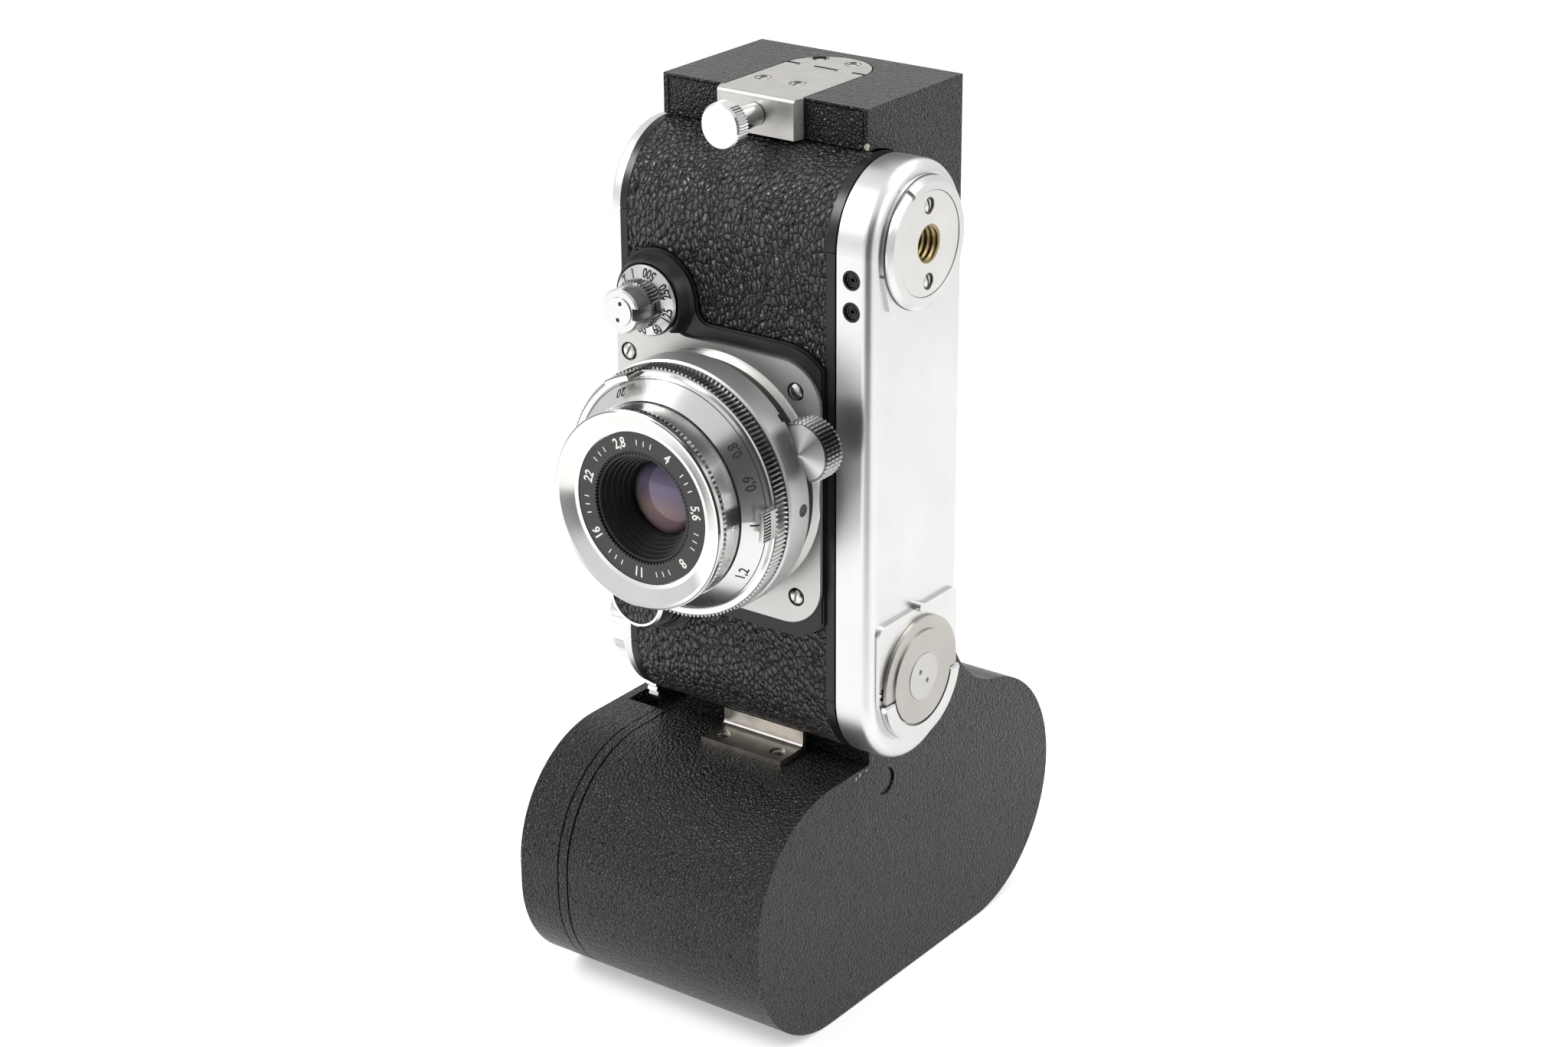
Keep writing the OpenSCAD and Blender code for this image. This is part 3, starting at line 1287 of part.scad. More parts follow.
magazine_housing();
magazine_lid();
lid_lock();
supply_spool();
takeup_spool();
supply_film();
takeup_film();
top_roller();
pressure_plate();
box_cover();
box_front();
hasp_leaf();
hasp_flap();
hasp_pin();
hasp_leaf_screws();
hasp_flap_screws();
thumb_screw();
thumb_screw_foot();
heel_bracket();
heel_screws();
coupling_gear();
body_casting();
body_leather();
shutter_platform();
front_plate();
front_plate_screws();
speed_dial();
speed_knob();
speed_cap();
port_collar();
port_cap();
port_inlay();
bottom_plate();
tripod_base();
tripod_ring();
tripod_disc();
tripod_bush();
tripod_screws();
lock_plate();
lock_hub();
lock_cap();
lock_key();
lock_pins();
sync_sockets();
top_plate();
winding_knob();
spring_drum();
release_button();
film_sprocket();
shutter_disc();
lens_flange();
lock_ring();
lock_knob();
focus_ring();
distance_cone();
lens_barrel();
aperture_ring();
name_ring();
baffle();
lens_glass();
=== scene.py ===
import math

import bmesh
import bpy
from mathutils import Matrix, Vector


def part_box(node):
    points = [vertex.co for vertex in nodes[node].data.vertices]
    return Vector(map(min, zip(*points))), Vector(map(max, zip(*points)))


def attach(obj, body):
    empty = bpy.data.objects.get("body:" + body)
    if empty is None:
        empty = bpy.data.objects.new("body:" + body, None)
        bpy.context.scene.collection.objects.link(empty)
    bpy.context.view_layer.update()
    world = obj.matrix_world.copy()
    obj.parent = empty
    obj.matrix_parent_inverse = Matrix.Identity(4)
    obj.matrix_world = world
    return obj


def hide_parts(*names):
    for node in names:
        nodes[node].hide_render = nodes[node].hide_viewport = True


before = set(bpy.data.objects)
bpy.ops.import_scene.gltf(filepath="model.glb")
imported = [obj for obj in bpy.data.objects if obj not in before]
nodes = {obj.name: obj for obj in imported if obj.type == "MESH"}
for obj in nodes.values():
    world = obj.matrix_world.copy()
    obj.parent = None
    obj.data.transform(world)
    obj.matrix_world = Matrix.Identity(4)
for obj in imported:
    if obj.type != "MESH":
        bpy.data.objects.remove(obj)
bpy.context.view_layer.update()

MM = 0.001


# Places and sizes read from the solids, in millimetres to the nearest hundredth

def lowest(node, axis):
    return round(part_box(node)[0]["XYZ".index(axis)] / MM, 2)


def highest(node, axis):
    return round(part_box(node)[1]["XYZ".index(axis)] / MM, 2)


def middle(node, axis):
    return round((lowest(node, axis) + highest(node, axis)) / 2, 2)


LENS_Z = middle("lens_barrel", "Z")
FOCUS_R, RIM_R = highest("focus_ring", "X"), highest("aperture_ring", "X")
CONE_D, CONE_R = -highest("distance_cone", "Y"), highest("distance_cone", "X")
BARREL_R = highest("lens_barrel", "X")
NAME_D, NAME_R = -lowest("name_ring", "Y"), highest("name_ring", "X")
PORT_X, PORT_Z = middle("port_cap", "X"), middle("port_cap", "Z")
DIAL_X, DIAL_Z = middle("speed_cap", "X"), middle("speed_cap", "Z")
CAP_FACE = -lowest("speed_cap", "Y")
THUMB_Z = middle("thumb_screw", "Z")
TRIPOD_Z, HUB_Z = middle("tripod_base", "Z"), middle("lock_cap", "Z")
TRIPOD_BASE_FACE, TRIPOD_R = highest("tripod_base", "X"), highest("tripod_base", "Y")
TRIPOD_FACE, TRIPOD_DISC_R = highest("tripod_disc", "X"), highest("tripod_disc", "Y")
THREAD_L = TRIPOD_FACE - lowest("tripod_bush", "X")
LID_EDGE = highest("magazine_lid", "X")
PLATE_SCREW_Y = lowest("front_plate_screws", "Y")
SIDE_SCREW_X = highest("tripod_screws", "X")
HASP_SCREW_Z = highest("hasp_leaf_screws", "Z")

# Sizes that no solid's box gives, in millimetres
BARREL_D = round(CONE_D + 1.06 * (CONE_R - BARREL_R), 2)
NAME_OPEN_R = 14.1
DIAL_R, KNOB_R = 8.6, 5.6
DIAL_RISE = 0.9
DIAL_D = -lowest("speed_dial", "Y") - DIAL_RISE
# Radii that the middles of the figures stand on, a little outside the middle of their fields
DIAL_FIGURES_R, NAME_FIGURES_R = (DIAL_R + KNOB_R) / 2 + 0.25, (NAME_R + NAME_OPEN_R) / 2 + 0.1
LOCK_KNOB_X, LOCK_KNOB_Z, LOCK_KNOB_R = 33.3, 164.5, 7.8
GLASS_R, PUPIL_R = 9.4, 7.0
THREAD_R, THREAD_DEEP, BUSH_R = 4.0, 0.58, 4.7
THREAD_PITCH = 25.4 / 16

LENS_AXIS = (0, 0, LENS_Z)
DIAL_AXIS = (DIAL_X, 0, DIAL_Z)
FRONT = Vector((0, -1, 0))
BASE_WAY = Vector((1, 0, 0))


# Materials

def linear(hexa):
    """sRGB hex to linear colour with alpha."""
    parts = [int(hexa[i:i + 2], 16) / 255 for i in (1, 3, 5)]
    return tuple(c / 12.92 if c <= 0.04045 else ((c + 0.055) / 1.055) ** 2.4 for c in parts) + (1.0,)


def set_stops(elements, stops):
    """Colours of a ramp: stops are (position, hex)."""
    while len(elements) < len(stops):
        elements.new(0.5)
    for element, (pos, hexa) in zip(elements, stops):
        element.position = pos
        element.color = linear(hexa)


def add(mat, kind, settings=None, links=None):
    """Adds a shader node, sets its attributes, sockets and ramp, and links its sockets from other nodes."""
    node = mat.node_tree.nodes.new("ShaderNode" + kind)
    for key, value in (settings or {}).items():
        if key == "stops":
            set_stops(node.color_ramp.elements, value)
        elif isinstance(key, int) or key in node.inputs:
            node.inputs[key].default_value = value
        else:
            setattr(node, key, value)
    for key, (source, out) in (links or {}).items():
        mat.node_tree.links.new(source.outputs[out], node.inputs[key])
    return node


def new_material(name):
    """Material with an empty node tree."""
    mat = bpy.data.materials.new(name)
    mat.use_nodes = True
    mat.node_tree.nodes.clear()
    return mat


def place(mat, scale=(1, 1, 1), move=(0, 0, 0), turn=(0, 0, 0)):
    """Object coordinates, moved to a part's own axis and scaled."""
    coords = add(mat, "TexCoord")
    return add(mat, "Mapping", {"Scale": scale, "Location": move, "Rotation": turn},
               {"Vector": (coords, "Object")})


def finish(mat, settings, links):
    """Principled surface and the material's output."""
    shader = add(mat, "BsdfPrincipled", settings, links)
    add(mat, "OutputMaterial", {}, {"Surface": (shader, "BSDF")})
    return mat


def mottled(mat, at, size_mm, detail, ragged, shade, rough_at):
    """Soft clouds of a size in millimetres, with the tone and the roughness that drift with them."""
    cloud = add(mat, "TexNoise", {"Scale": 1 / (size_mm * MM), "Detail": detail, "Roughness": ragged},
                {"Vector": (at, "Vector")})
    tone = add(mat, "ValToRGB", {"stops": [(0.3, shade[0]), (0.7, shade[1])]}, {"Fac": (cloud, "Fac")})
    rough = add(mat, "MapRange", {"To Min": rough_at[0], "To Max": rough_at[1]}, {"Value": (cloud, "Fac")})
    return cloud, tone, rough


def warped(mat, at, grain_mm, reach_mm):
    """Coordinates pushed about by soft noise: its grain and its reach are in millimetres."""
    wave = add(mat, "TexNoise", {"Scale": 1 / (grain_mm * MM), "Detail": 2.0}, {"Vector": (at, "Vector")})
    centred = add(mat, "VectorMath", {"operation": "SUBTRACT", 1: (0.5, 0.5, 0.5)}, {0: (wave, "Color")})
    push = add(mat, "VectorMath", {"operation": "SCALE", "Scale": 2 * reach_mm * MM},
               {0: (centred, "Vector")})
    return add(mat, "VectorMath", {"operation": "ADD"}, {0: (at, "Vector"), 1: (push, "Vector")})


def chip_mask(mat, at, chips):
    """1 where the finish has flaked off: a ragged spot of each (x, y, z, radius) in millimetres."""
    ragged = add(mat, "TexNoise", {"Scale": 1 / (RAGGED_MM * MM), "Detail": 4.0, "Roughness": 0.75},
                 {"Vector": (at, "Vector")})
    total = None
    for x, y, z, radius in chips:
        gap = add(mat, "VectorMath", {"operation": "DISTANCE", 1: (x * MM, y * MM, z * MM)},
                  {0: (at, "Vector")})
        near = add(mat, "MapRange", {"From Max": radius * MM, "To Min": 1.0, "To Max": 0.0},
                   {"Value": (gap, "Value")})
        spot = add(mat, "Math", {"operation": "MULTIPLY"}, {0: (near, "Result"), 1: (ragged, "Fac")})
        if total is not None:
            spot = add(mat, "Math", {"operation": "MAXIMUM"}, {0: (total, "Value"), 1: (spot, "Value")})
        total = spot
    return add(mat, "MapRange", {"From Min": 0.24, "From Max": 0.28}, {"Value": (total, "Value")})


def pebbles(mat, vector, size_mm, crease_width, crease_share):
    """Domed cells: a mask that is 0 in the creases, and a height that has a share of the mask in it."""
    scale = 1 / (size_mm * MM)
    cell = add(mat, "TexVoronoi", {"Scale": scale, "feature": "SMOOTH_F1", "Smoothness": 0.35},
               {"Vector": vector})
    dome = add(mat, "MapRange", {"From Min": 0.12, "From Max": 0.72, "To Min": 1.0, "To Max": 0.0,
                                 "interpolation_type": "SMOOTHSTEP"}, {"Value": (cell, "Distance")})
    edge = add(mat, "TexVoronoi", {"Scale": scale, "feature": "DISTANCE_TO_EDGE"}, {"Vector": vector})
    crease = add(mat, "MapRange", {"From Max": crease_width, "interpolation_type": "SMOOTHSTEP"},
                 {"Value": (edge, "Distance")})
    body = add(mat, "Mix", {"data_type": "FLOAT", "Factor": crease_share},
               {2: (dome, "Result"), 3: (crease, "Result")})
    return crease, body


def wrinkle_enamel():
    # Black wrinkle enamel baked on sheet brass: fine pebbles about 0.9 mm across, each with a small light on
    # it, that run together along sinuous creases with painted shade down in them; bright brass at the few
    # corners where it has flaked, and two lines of painted shade round the magazine, at the lid's joint and
    # in the groove beside it
    mat = new_material("wrinkle_enamel")
    at = place(mat)
    bend = warped(mat, at, 1.1, 0.5)
    crease, body = pebbles(mat, (bend, "Vector"), 0.9, 0.2, 0.3)
    swell = add(mat, "TexNoise", {"Scale": 1 / (2.4 * MM), "Detail": 3.0, "Roughness": 0.6},
                {"Vector": (at, "Vector")})
    height = add(mat, "Mix", {"data_type": "FLOAT", "Factor": 0.3}, {2: (body, "Result"), 3: (swell, "Fac")})
    bump = add(mat, "Bump", {"Strength": 1.0, "Distance": 0.6 * MM}, {"Height": (height, "Result")})
    # Painted shade: the base colour goes darker and the reflections dimmer down in the creases
    tone = add(mat, "ValToRGB", {"stops": [(0.0, "#0c0b0b"), (0.7, "#292624")]}, {"Fac": (crease, "Result")})
    crease_shaded_tint = add(mat, "ValToRGB", {"stops": [(0.0, "#6c6966"), (0.6, "#ffffff")]}, {"Fac": (crease, "Result")})
    worn = chip_mask(mat, at, PAINT_CHIPS)
    chipped = add(mat, "Mix", {"data_type": "RGBA", 7: linear("#c9c2b4")},
                  {0: (worn, "Result"), 6: (tone, "Color")})
    # Painted shade: a near-black line with dim reflections at the lid's joint, and another in the groove
    # beside it
    split = add(mat, "SeparateXYZ", {}, {0: (at, "Vector")})
    near = [add(mat, "Math", {"operation": "COMPARE", 1: x * MM, 2: LID_SHADE_HALF * MM}, {0: (split, "X")})
            for x in LID_SHADE_LINES]
    line = add(mat, "Math", {"operation": "MAXIMUM"}, {0: (near[0], "Value"), 1: (near[1], "Value")})
    colour = add(mat, "Mix", {"data_type": "RGBA", 7: linear("#030303")},
                 {0: (line, "Value"), 6: (chipped, 2)})
    shaded_specular_tint = add(mat, "Mix", {"data_type": "RGBA", 7: linear("#101010")},
                {0: (line, "Value"), 6: (crease_shaded_tint, "Color")})
    cloud = add(mat, "TexNoise", {"Scale": 1 / (28.6 * MM), "Detail": 4.0}, {"Vector": (at, "Vector")})
    rough = add(mat, "MapRange", {"To Min": 0.26, "To Max": 0.38}, {"Value": (cloud, "Fac")})
    return finish(mat, {"Specular IOR Level": 0.38},
                  {"Base Color": (colour, 2), "Roughness": (rough, "Result"), "Normal": (bump, "Normal"),
                   "Specular Tint": (shaded_specular_tint, 2)})


def morocco_leather():
    # Coarse black morocco leather: soft domed pebbles 1.4 mm wide and 2.3 mm tall that run into each other,
    # parted by deep creases with painted shade in them, and a clear light on the upper side of each
    mat = new_material("morocco_leather")
    at = place(mat, scale=(1, 1, 0.6), turn=(0.12, 0.25, 0.0))
    bend = warped(mat, at, 1.4, 0.7)
    crease, body = pebbles(mat, (bend, "Vector"), 1.4, 0.2, 0.3)
    fold = add(mat, "TexNoise", {"Scale": 1 / (3.4 * MM), "Detail": 2.0}, {"Vector": (at, "Vector")})
    pore = add(mat, "TexNoise", {"Scale": 1 / (0.5 * MM), "Detail": 3.0, "Roughness": 0.6},
               {"Vector": (at, "Vector")})
    folded = add(mat, "Mix", {"data_type": "FLOAT", "Factor": 0.2}, {2: (body, "Result"), 3: (fold, "Fac")})
    height = add(mat, "Mix", {"data_type": "FLOAT", "Factor": 0.06},
                 {2: (folded, "Result"), 3: (pore, "Fac")})
    bump = add(mat, "Bump", {"Strength": 1.0, "Distance": 1.1 * MM}, {"Height": (height, "Result")})
    # Painted shade: the base colour goes darker and the reflections dimmer down in the creases
    tone = add(mat, "ValToRGB", {"stops": [(0.0, "#060505"), (0.7, "#2c2927")]}, {"Fac": (crease, "Result")})
    crease_shaded_tint = add(mat, "ValToRGB", {"stops": [(0.0, "#3c3a38"), (0.6, "#ffffff")]}, {"Fac": (crease, "Result")})
    rough = add(mat, "MapRange", {"To Min": 0.42, "To Max": 0.31}, {"Value": (height, "Result")})
    return finish(mat, {"Specular IOR Level": 0.64},
                  {"Base Color": (tone, "Color"), "Roughness": (rough, "Result"), "Normal": (bump, "Normal"),
                   "Specular Tint": (crease_shaded_tint, "Color")})


def stove_enamel():
    # Smooth black stove enamel over brass: half gloss, with pale nicks along the rims
    mat = new_material("stove_enamel")
    at = place(mat)
    _, tone, rough = mottled(mat, at, 6.25, 6.0, 0.7, ("#100f0f", "#181716"), (0.26, 0.4))
    flaked = chip_mask(mat, at, ENAMEL_CHIPS)
    colour = add(mat, "Mix", {"data_type": "RGBA", 7: linear("#d6d0c4")},
                 {0: (flaked, "Result"), 6: (tone, "Color")})
    grit = add(mat, "TexNoise", {"Scale": 1 / (0.35 * MM), "Detail": 2.0}, {"Vector": (at, "Vector")})
    bump = add(mat, "Bump", {"Strength": 0.12, "Distance": 0.06 * MM}, {"Height": (grit, "Fac")})
    return finish(mat, {"Specular IOR Level": 0.35},
                  {"Base Color": (colour, 2), "Roughness": (rough, "Result"), "Normal": (bump, "Normal")})


def satin_chrome(name, shade, rough_at, sparkle=0.3):
    # Blasted brass with satin chrome on it: an even pale grey with a faint sparkle; the 0.1 mm grit is
    # drawn at 0.3 mm, so that it shows
    mat = new_material(name)
    at = place(mat)
    grit = add(mat, "TexNoise", {"Scale": 1 / (0.3 * MM), "Detail": 2.0}, {"Vector": (at, "Vector")})
    _, tone, rough = mottled(mat, at, 20, 6.0, 0.6, shade, rough_at)
    bump = add(mat, "Bump", {"Strength": sparkle, "Distance": 0.04 * MM}, {"Height": (grit, "Fac")})
    return finish(mat, {"Metallic": 1.0},
                  {"Base Color": (tone, "Color"), "Roughness": (rough, "Result"), "Normal": (bump, "Normal")})


def turned_metal(name, centre, axis, shade, rough_at, drawn=0.35, pitch=0.25, groove=0.12,
                 painted_fans=None, valley=None):
    # Metal faced on a lathe: fine rings round its own axis that draw the light out into fans across them. The
    # tool's feed of about 0.1 mm is drawn 0.25 to 0.5 mm wide, so that it shows. A spun face also has painted
    # reflection fans in its tone, and a knurl has painted shade in its valleys, dark at its foot radius and
    # none at its crest radius
    mat = new_material(name)
    keep = (0, 1, 1) if axis == "X" else (1, 0, 1)
    move = tuple(-c * MM * k for c, k in zip(centre, keep))
    at = place(mat, scale=keep, move=move)
    radius = add(mat, "VectorMath", {"operation": "LENGTH"}, {0: (at, "Vector")})
    waves = add(mat, "Math", {"operation": "MULTIPLY", 1: 2 * math.pi / (pitch * MM)}, {0: (radius, "Value")})
    rings = add(mat, "Math", {"operation": "SINE"}, {0: (waves, "Value")})
    bump = add(mat, "Bump", {"Strength": groove, "Distance": 0.01 * MM}, {"Height": (rings, "Value")})
    _, tone, rough = mottled(mat, place(mat), 16.7, 3.0, 0.5, shade, rough_at)
    # Painted reflection: the spun face's fans of light set into its tone by the angle round its axis
    if painted_fans:
        split = add(mat, "SeparateXYZ", {}, {0: (at, "Vector")})
        angle = add(mat, "Math", {"operation": "ARCTAN2"}, {0: (split, "Z"), 1: (split, "X")})
        share = add(mat, "MapRange", {"From Min": -math.pi, "From Max": math.pi}, {"Value": (angle, "Value")})
        tone = add(mat, "ValToRGB", {"stops": painted_fans}, {"Fac": (share, "Result")})
    colour = (tone, "Color")
    # Painted shade in a knurl's valleys: dark at the foot radius, fading out to none at the crest radius
    if valley:
        foot, crest = valley
        rise = add(mat, "MapRange",
                   {"From Min": foot * MM, "From Max": crest * MM, "To Min": 0.9, "To Max": 0.0},
                   {"Value": (radius, "Value")})
        outside = add(mat, "Math", {"operation": "GREATER_THAN", 1: (foot - 0.06) * MM},
                      {0: (radius, "Value")})
        valley_shade = add(mat, "Math", {"operation": "MULTIPLY"}, {0: (rise, "Result"), 1: (outside, "Value")})
        dark = add(mat, "Mix", {"data_type": "RGBA", 7: linear("#151413")}, {0: (valley_shade, "Value"), 6: colour})
        colour = (dark, 2)
    way = (1.0, 0.0, 0.0) if axis == "X" else (0.0, 1.0, 0.0)
    round_it = add(mat, "VectorMath", {"operation": "CROSS_PRODUCT", 1: way}, {0: (at, "Vector")})
    turned = add(mat, "VectorTransform",
                 {"vector_type": "VECTOR", "convert_from": "OBJECT", "convert_to": "WORLD"},
                 {"Vector": (round_it, "Vector")})
    face = add(mat, "NewGeometry")
    across = add(mat, "VectorMath", {"operation": "CROSS_PRODUCT"},
                 {0: (face, "Normal"), 1: (turned, "Vector")})
    lay = add(mat, "VectorMath", {"operation": "NORMALIZE"}, {0: (across, "Vector")})
    return finish(mat, {"Metallic": 1.0, "Anisotropic": drawn},
                  {"Base Color": colour, "Roughness": (rough, "Result"), "Normal": (bump, "Normal"),
                   "Tangent": (lay, "Vector")})


def plain_surface(name, shade, rough_at, metal=0.0, cloud_mm=2, strength=0.1):
    # Small fittings: a slight change of tone and gloss over a few millimetres, as on handled metal or ink
    mat = new_material(name)
    cloud, tone, rough = mottled(mat, place(mat), cloud_mm, 4.0, 0.5, shade, rough_at)
    bump = add(mat, "Bump", {"Strength": strength, "Distance": 0.05 * MM}, {"Height": (cloud, "Fac")})
    return finish(mat, {"Metallic": metal},
                  {"Base Color": (tone, "Color"), "Roughness": (rough, "Result"), "Normal": (bump, "Normal")})


def slotted_steel(name, axis, face, deep, way=1):
    # Plated screw heads: bright, with painted shade in the slot and on all below the face; face and depth in
    # millimetres
    mat = new_material(name)
    at = place(mat)
    _, tone, rough = mottled(mat, at, 3.33, 3.0, 0.5, ("#c9c9c7", "#d2d2d0"), (0.2, 0.3))
    split = add(mat, "SeparateXYZ", {}, {0: (at, "Vector")})
    half_way, bottom = (face - way * 0.5 * deep) * MM, (face - way * deep) * MM
    # Painted shade: darker from half the slot's depth down, black at its bottom and below
    slot_shade = add(mat, "MapRange", {"From Min": half_way, "From Max": bottom}, {"Value": (split, axis)})
    colour = add(mat, "Mix", {"data_type": "RGBA", 7: linear("#121110")},
                 {0: (slot_shade, "Result"), 6: (tone, "Color")})
    return finish(mat, {"Metallic": 1.0}, {"Base Color": (colour, 2), "Roughness": (rough, "Result")})


def coated_glass():
    # Ground optical glass, drawn opaque: a painted reflection of its lilac coating in the pupil, lilac above
    # and brownish below, and painted shade round it for the dark inside of the lens
    mat = new_material("coated_glass")
    at = place(mat, scale=(1, 0, 1), move=(0, 0, -LENS_Z * MM))
    radius = add(mat, "VectorMath", {"operation": "LENGTH"}, {0: (at, "Vector")})
    share = add(mat, "Math", {"operation": "DIVIDE", 1: GLASS_R * MM}, {0: (radius, "Value")})
    split = add(mat, "SeparateXYZ", {}, {0: (at, "Vector")})
    rise = add(mat, "MapRange", {"From Min": -PUPIL_R * MM, "From Max": PUPIL_R * MM},
               {"Value": (split, "Z")})
    # Painted reflection of the coating in the pupil, lilac above and brownish below
    painted_pupil_reflection = add(mat, "ValToRGB", {"stops": [(0.0, "#77626b"), (0.3, "#806c66"), (0.55, "#6f6270"),
                                            (0.75, "#706880"), (1.0, "#565064")]}, {"Fac": (rise, "Result")})
    # Painted shade: dark towards the rim of the glass, for the inside of the lens
    mask = add(mat, "MapRange", {"From Min": 0.78, "From Max": 0.98}, {"Value": (share, "Value")})
    tone = add(mat, "Mix", {"data_type": "RGBA", 7: linear("#121013")},
               {0: (mask, "Result"), 6: (painted_pupil_reflection, "Color")})
    return finish(mat, {"Roughness": 0.05, "IOR": 1.55, "Specular Tint": linear("#d8ccf0")},
                  {"Base Color": (tone, 2)})


# Lines of painted shade: where the lid meets the housing, the fine groove beside it, and half the width of
# both lines
LID_SHADE_LINES = (LID_EDGE + 0.13, LID_EDGE + 3.25)
LID_SHADE_HALF = 0.26
# Flaked spots: x, y, z and radius in millimetres, and the grain of their ragged edges
PAINT_CHIPS = [(30.4, -5.2, 66.3, 0.9), (30.4, -3.6, 66.8, 1.1), (30.4, -0.6, 66.9, 0.7),
               (30.2, -1.5, 231.2, 1.6), (30.2, -1.6, 229.6, 1.0)]
ENAMEL_CHIPS = [(-25.4, -6.5, 229.0, 1.2), (-9.0, -20.9, 184.6, 0.7), (30.6, -20.9, 173.0, 0.6)]
RAGGED_MM = 2 / 3
# Painted reflection fans of the lock knob's spun face: its tones, once round
KNOB_PAINTED_FANS = [(0.0, "#8b8b8a"), (0.13, "#626261"), (0.2, "#b4b4b3"), (0.3, "#a2a2a1"), (0.42, "#c2c2c1"),
             (0.5, "#929291"), (0.62, "#686867"), (0.7, "#b9b9b8"), (0.82, "#a0a09f"), (0.92, "#6e6e6d"),
             (1.0, "#8b8b8a")]

PAINT = wrinkle_enamel()
LEATHER = morocco_leather()
ENAMEL = stove_enamel()
SATIN = satin_chrome("satin_chrome", ("#cdcdcc", "#d6d6d5"), (0.3, 0.36))
PLATE = satin_chrome("satin_front_plate", ("#bbbab8", "#c3c2c0"), (0.44, 0.5))
LOCK_RING = satin_chrome("satin_lock_ring", ("#c0c0bf", "#c8c8c7"), (0.42, 0.48), sparkle=0.2)
FOCUS_METAL = turned_metal("knurled_focus_metal", LENS_AXIS, "Y", ("#d6d6d4", "#dcdcda"), (0.17, 0.19),
                           drawn=0.15, groove=0.04, valley=(FOCUS_R - 0.7, FOCUS_R - 0.1))
RIM_METAL = turned_metal("bright_rim_metal", LENS_AXIS, "Y", ("#cfcfcd", "#d6d6d4"), (0.15, 0.17),
                         drawn=0.15, groove=0.04, valley=(RIM_R - 0.42, RIM_R - 0.1))
SATIN_LENS = turned_metal("satin_turned_lens", LENS_AXIS, "Y", ("#c8c8c7", "#cdcdcc"), (0.19, 0.21),
                          drawn=0.25, groove=0.03)
SPEED_METAL = turned_metal("serrated_speed_knob", DIAL_AXIS, "Y", ("#c2c2c1", "#cacac9"), (0.22, 0.28),
                           valley=(KNOB_R + 0.1, KNOB_R + 0.5))
DIAL_METAL = turned_metal("turned_dial", DIAL_AXIS, "Y", ("#c2c2c1", "#cacac9"), (0.2, 0.26))
KNOB_METAL = turned_metal("turned_lock_knob", (LOCK_KNOB_X, 0, LOCK_KNOB_Z), "Y", ("#c6c6c5", "#cdcdcc"),
                          (0.24, 0.3), drawn=0.7, pitch=0.4, groove=0.2, painted_fans=KNOB_PAINTED_FANS,
                          valley=(LOCK_KNOB_R - 0.75, LOCK_KNOB_R - 0.15))
THUMB_METAL = turned_metal("turned_thumb_screw", (0, 0, THUMB_Z), "Y", ("#d6d6d5", "#dededd"), (0.16, 0.22))
PORT_METAL = turned_metal("turned_port_cap", (PORT_X, 0, PORT_Z), "Y", ("#cfcfce", "#dadad9"), (0.18, 0.26))
TRIPOD_METAL = turned_metal("turned_tripod_disc", (0, 0, TRIPOD_Z), "X", ("#cdcbc8", "#d5d3d0"), (0.3, 0.38),
                            drawn=0.4, pitch=0.5)
HUB_METAL = turned_metal("turned_lock_hub", (0, 0, HUB_Z), "X", ("#aaa7a2", "#b4b1ac"), (0.32, 0.4),
                         drawn=0.4, pitch=0.5)
RING_METAL = turned_metal("turned_side_rings", (0, 0, TRIPOD_Z), "X", ("#cacac9", "#d2d2d1"), (0.22, 0.3),
                          drawn=0.4, pitch=0.5)
PLATE_SCREW = slotted_steel("front_plate_screw", "Y", PLATE_SCREW_Y, 0.55, way=-1)
SIDE_SCREW = slotted_steel("tripod_disc_screw", "X", SIDE_SCREW_X, 0.45)
HASP_SCREW = slotted_steel("hasp_screw", "Z", HASP_SCREW_Z, 0.3)
STEEL = plain_surface("plated_steel", ("#c9c9c7", "#d2d2d0"), (0.24, 0.3), metal=1.0, cloud_mm=5,
                      strength=0.05)
SATIN_STEEL = plain_surface("satin_nickel", ("#b3b1ad", "#bebcb8"), (0.34, 0.42), metal=1.0, cloud_mm=5,
                            strength=0.15)
WORN_STEEL = plain_surface("worn_nickel", ("#9d9993", "#b3afa8"), (0.3, 0.42), metal=1.0, cloud_mm=3.85,
                           strength=0.2)
BRASS = plain_surface("worn_brass", ("#7f7150", "#a08f68"), (0.3, 0.42), metal=1.0)
ALUMINIUM = plain_surface("turned_aluminium", ("#a9aaab", "#bdbebf"), (0.32, 0.42), metal=1.0)
DARK_INSIDE = plain_surface("blackened_brass", ("#0c0c0c", "#151514"), (0.4, 0.5))
NAME_BLACK = plain_surface("black_anodised_ring", ("#242424", "#2c2c2b"), (0.45, 0.55))
FILM = plain_surface("wound_film", ("#2c2723", "#3b342e"), (0.25, 0.4))
# Black ink of the engraved figures, which also draws the painted shade in the joints and in the knob cap's
# holes
BLACK_INK_AND_SHADE = plain_surface("black_engraving_and_painted_shade", ("#0b0b0b", "#161616"), (0.5, 0.6))
WHITE_INK = plain_surface("white_filled_engraving", ("#e2e0da", "#f0eee8"), (0.5, 0.6))
RED_INK = plain_surface("red_brown_dot", ("#1c0a08", "#26100c"), (0.4, 0.5))
GLASS = coated_glass()

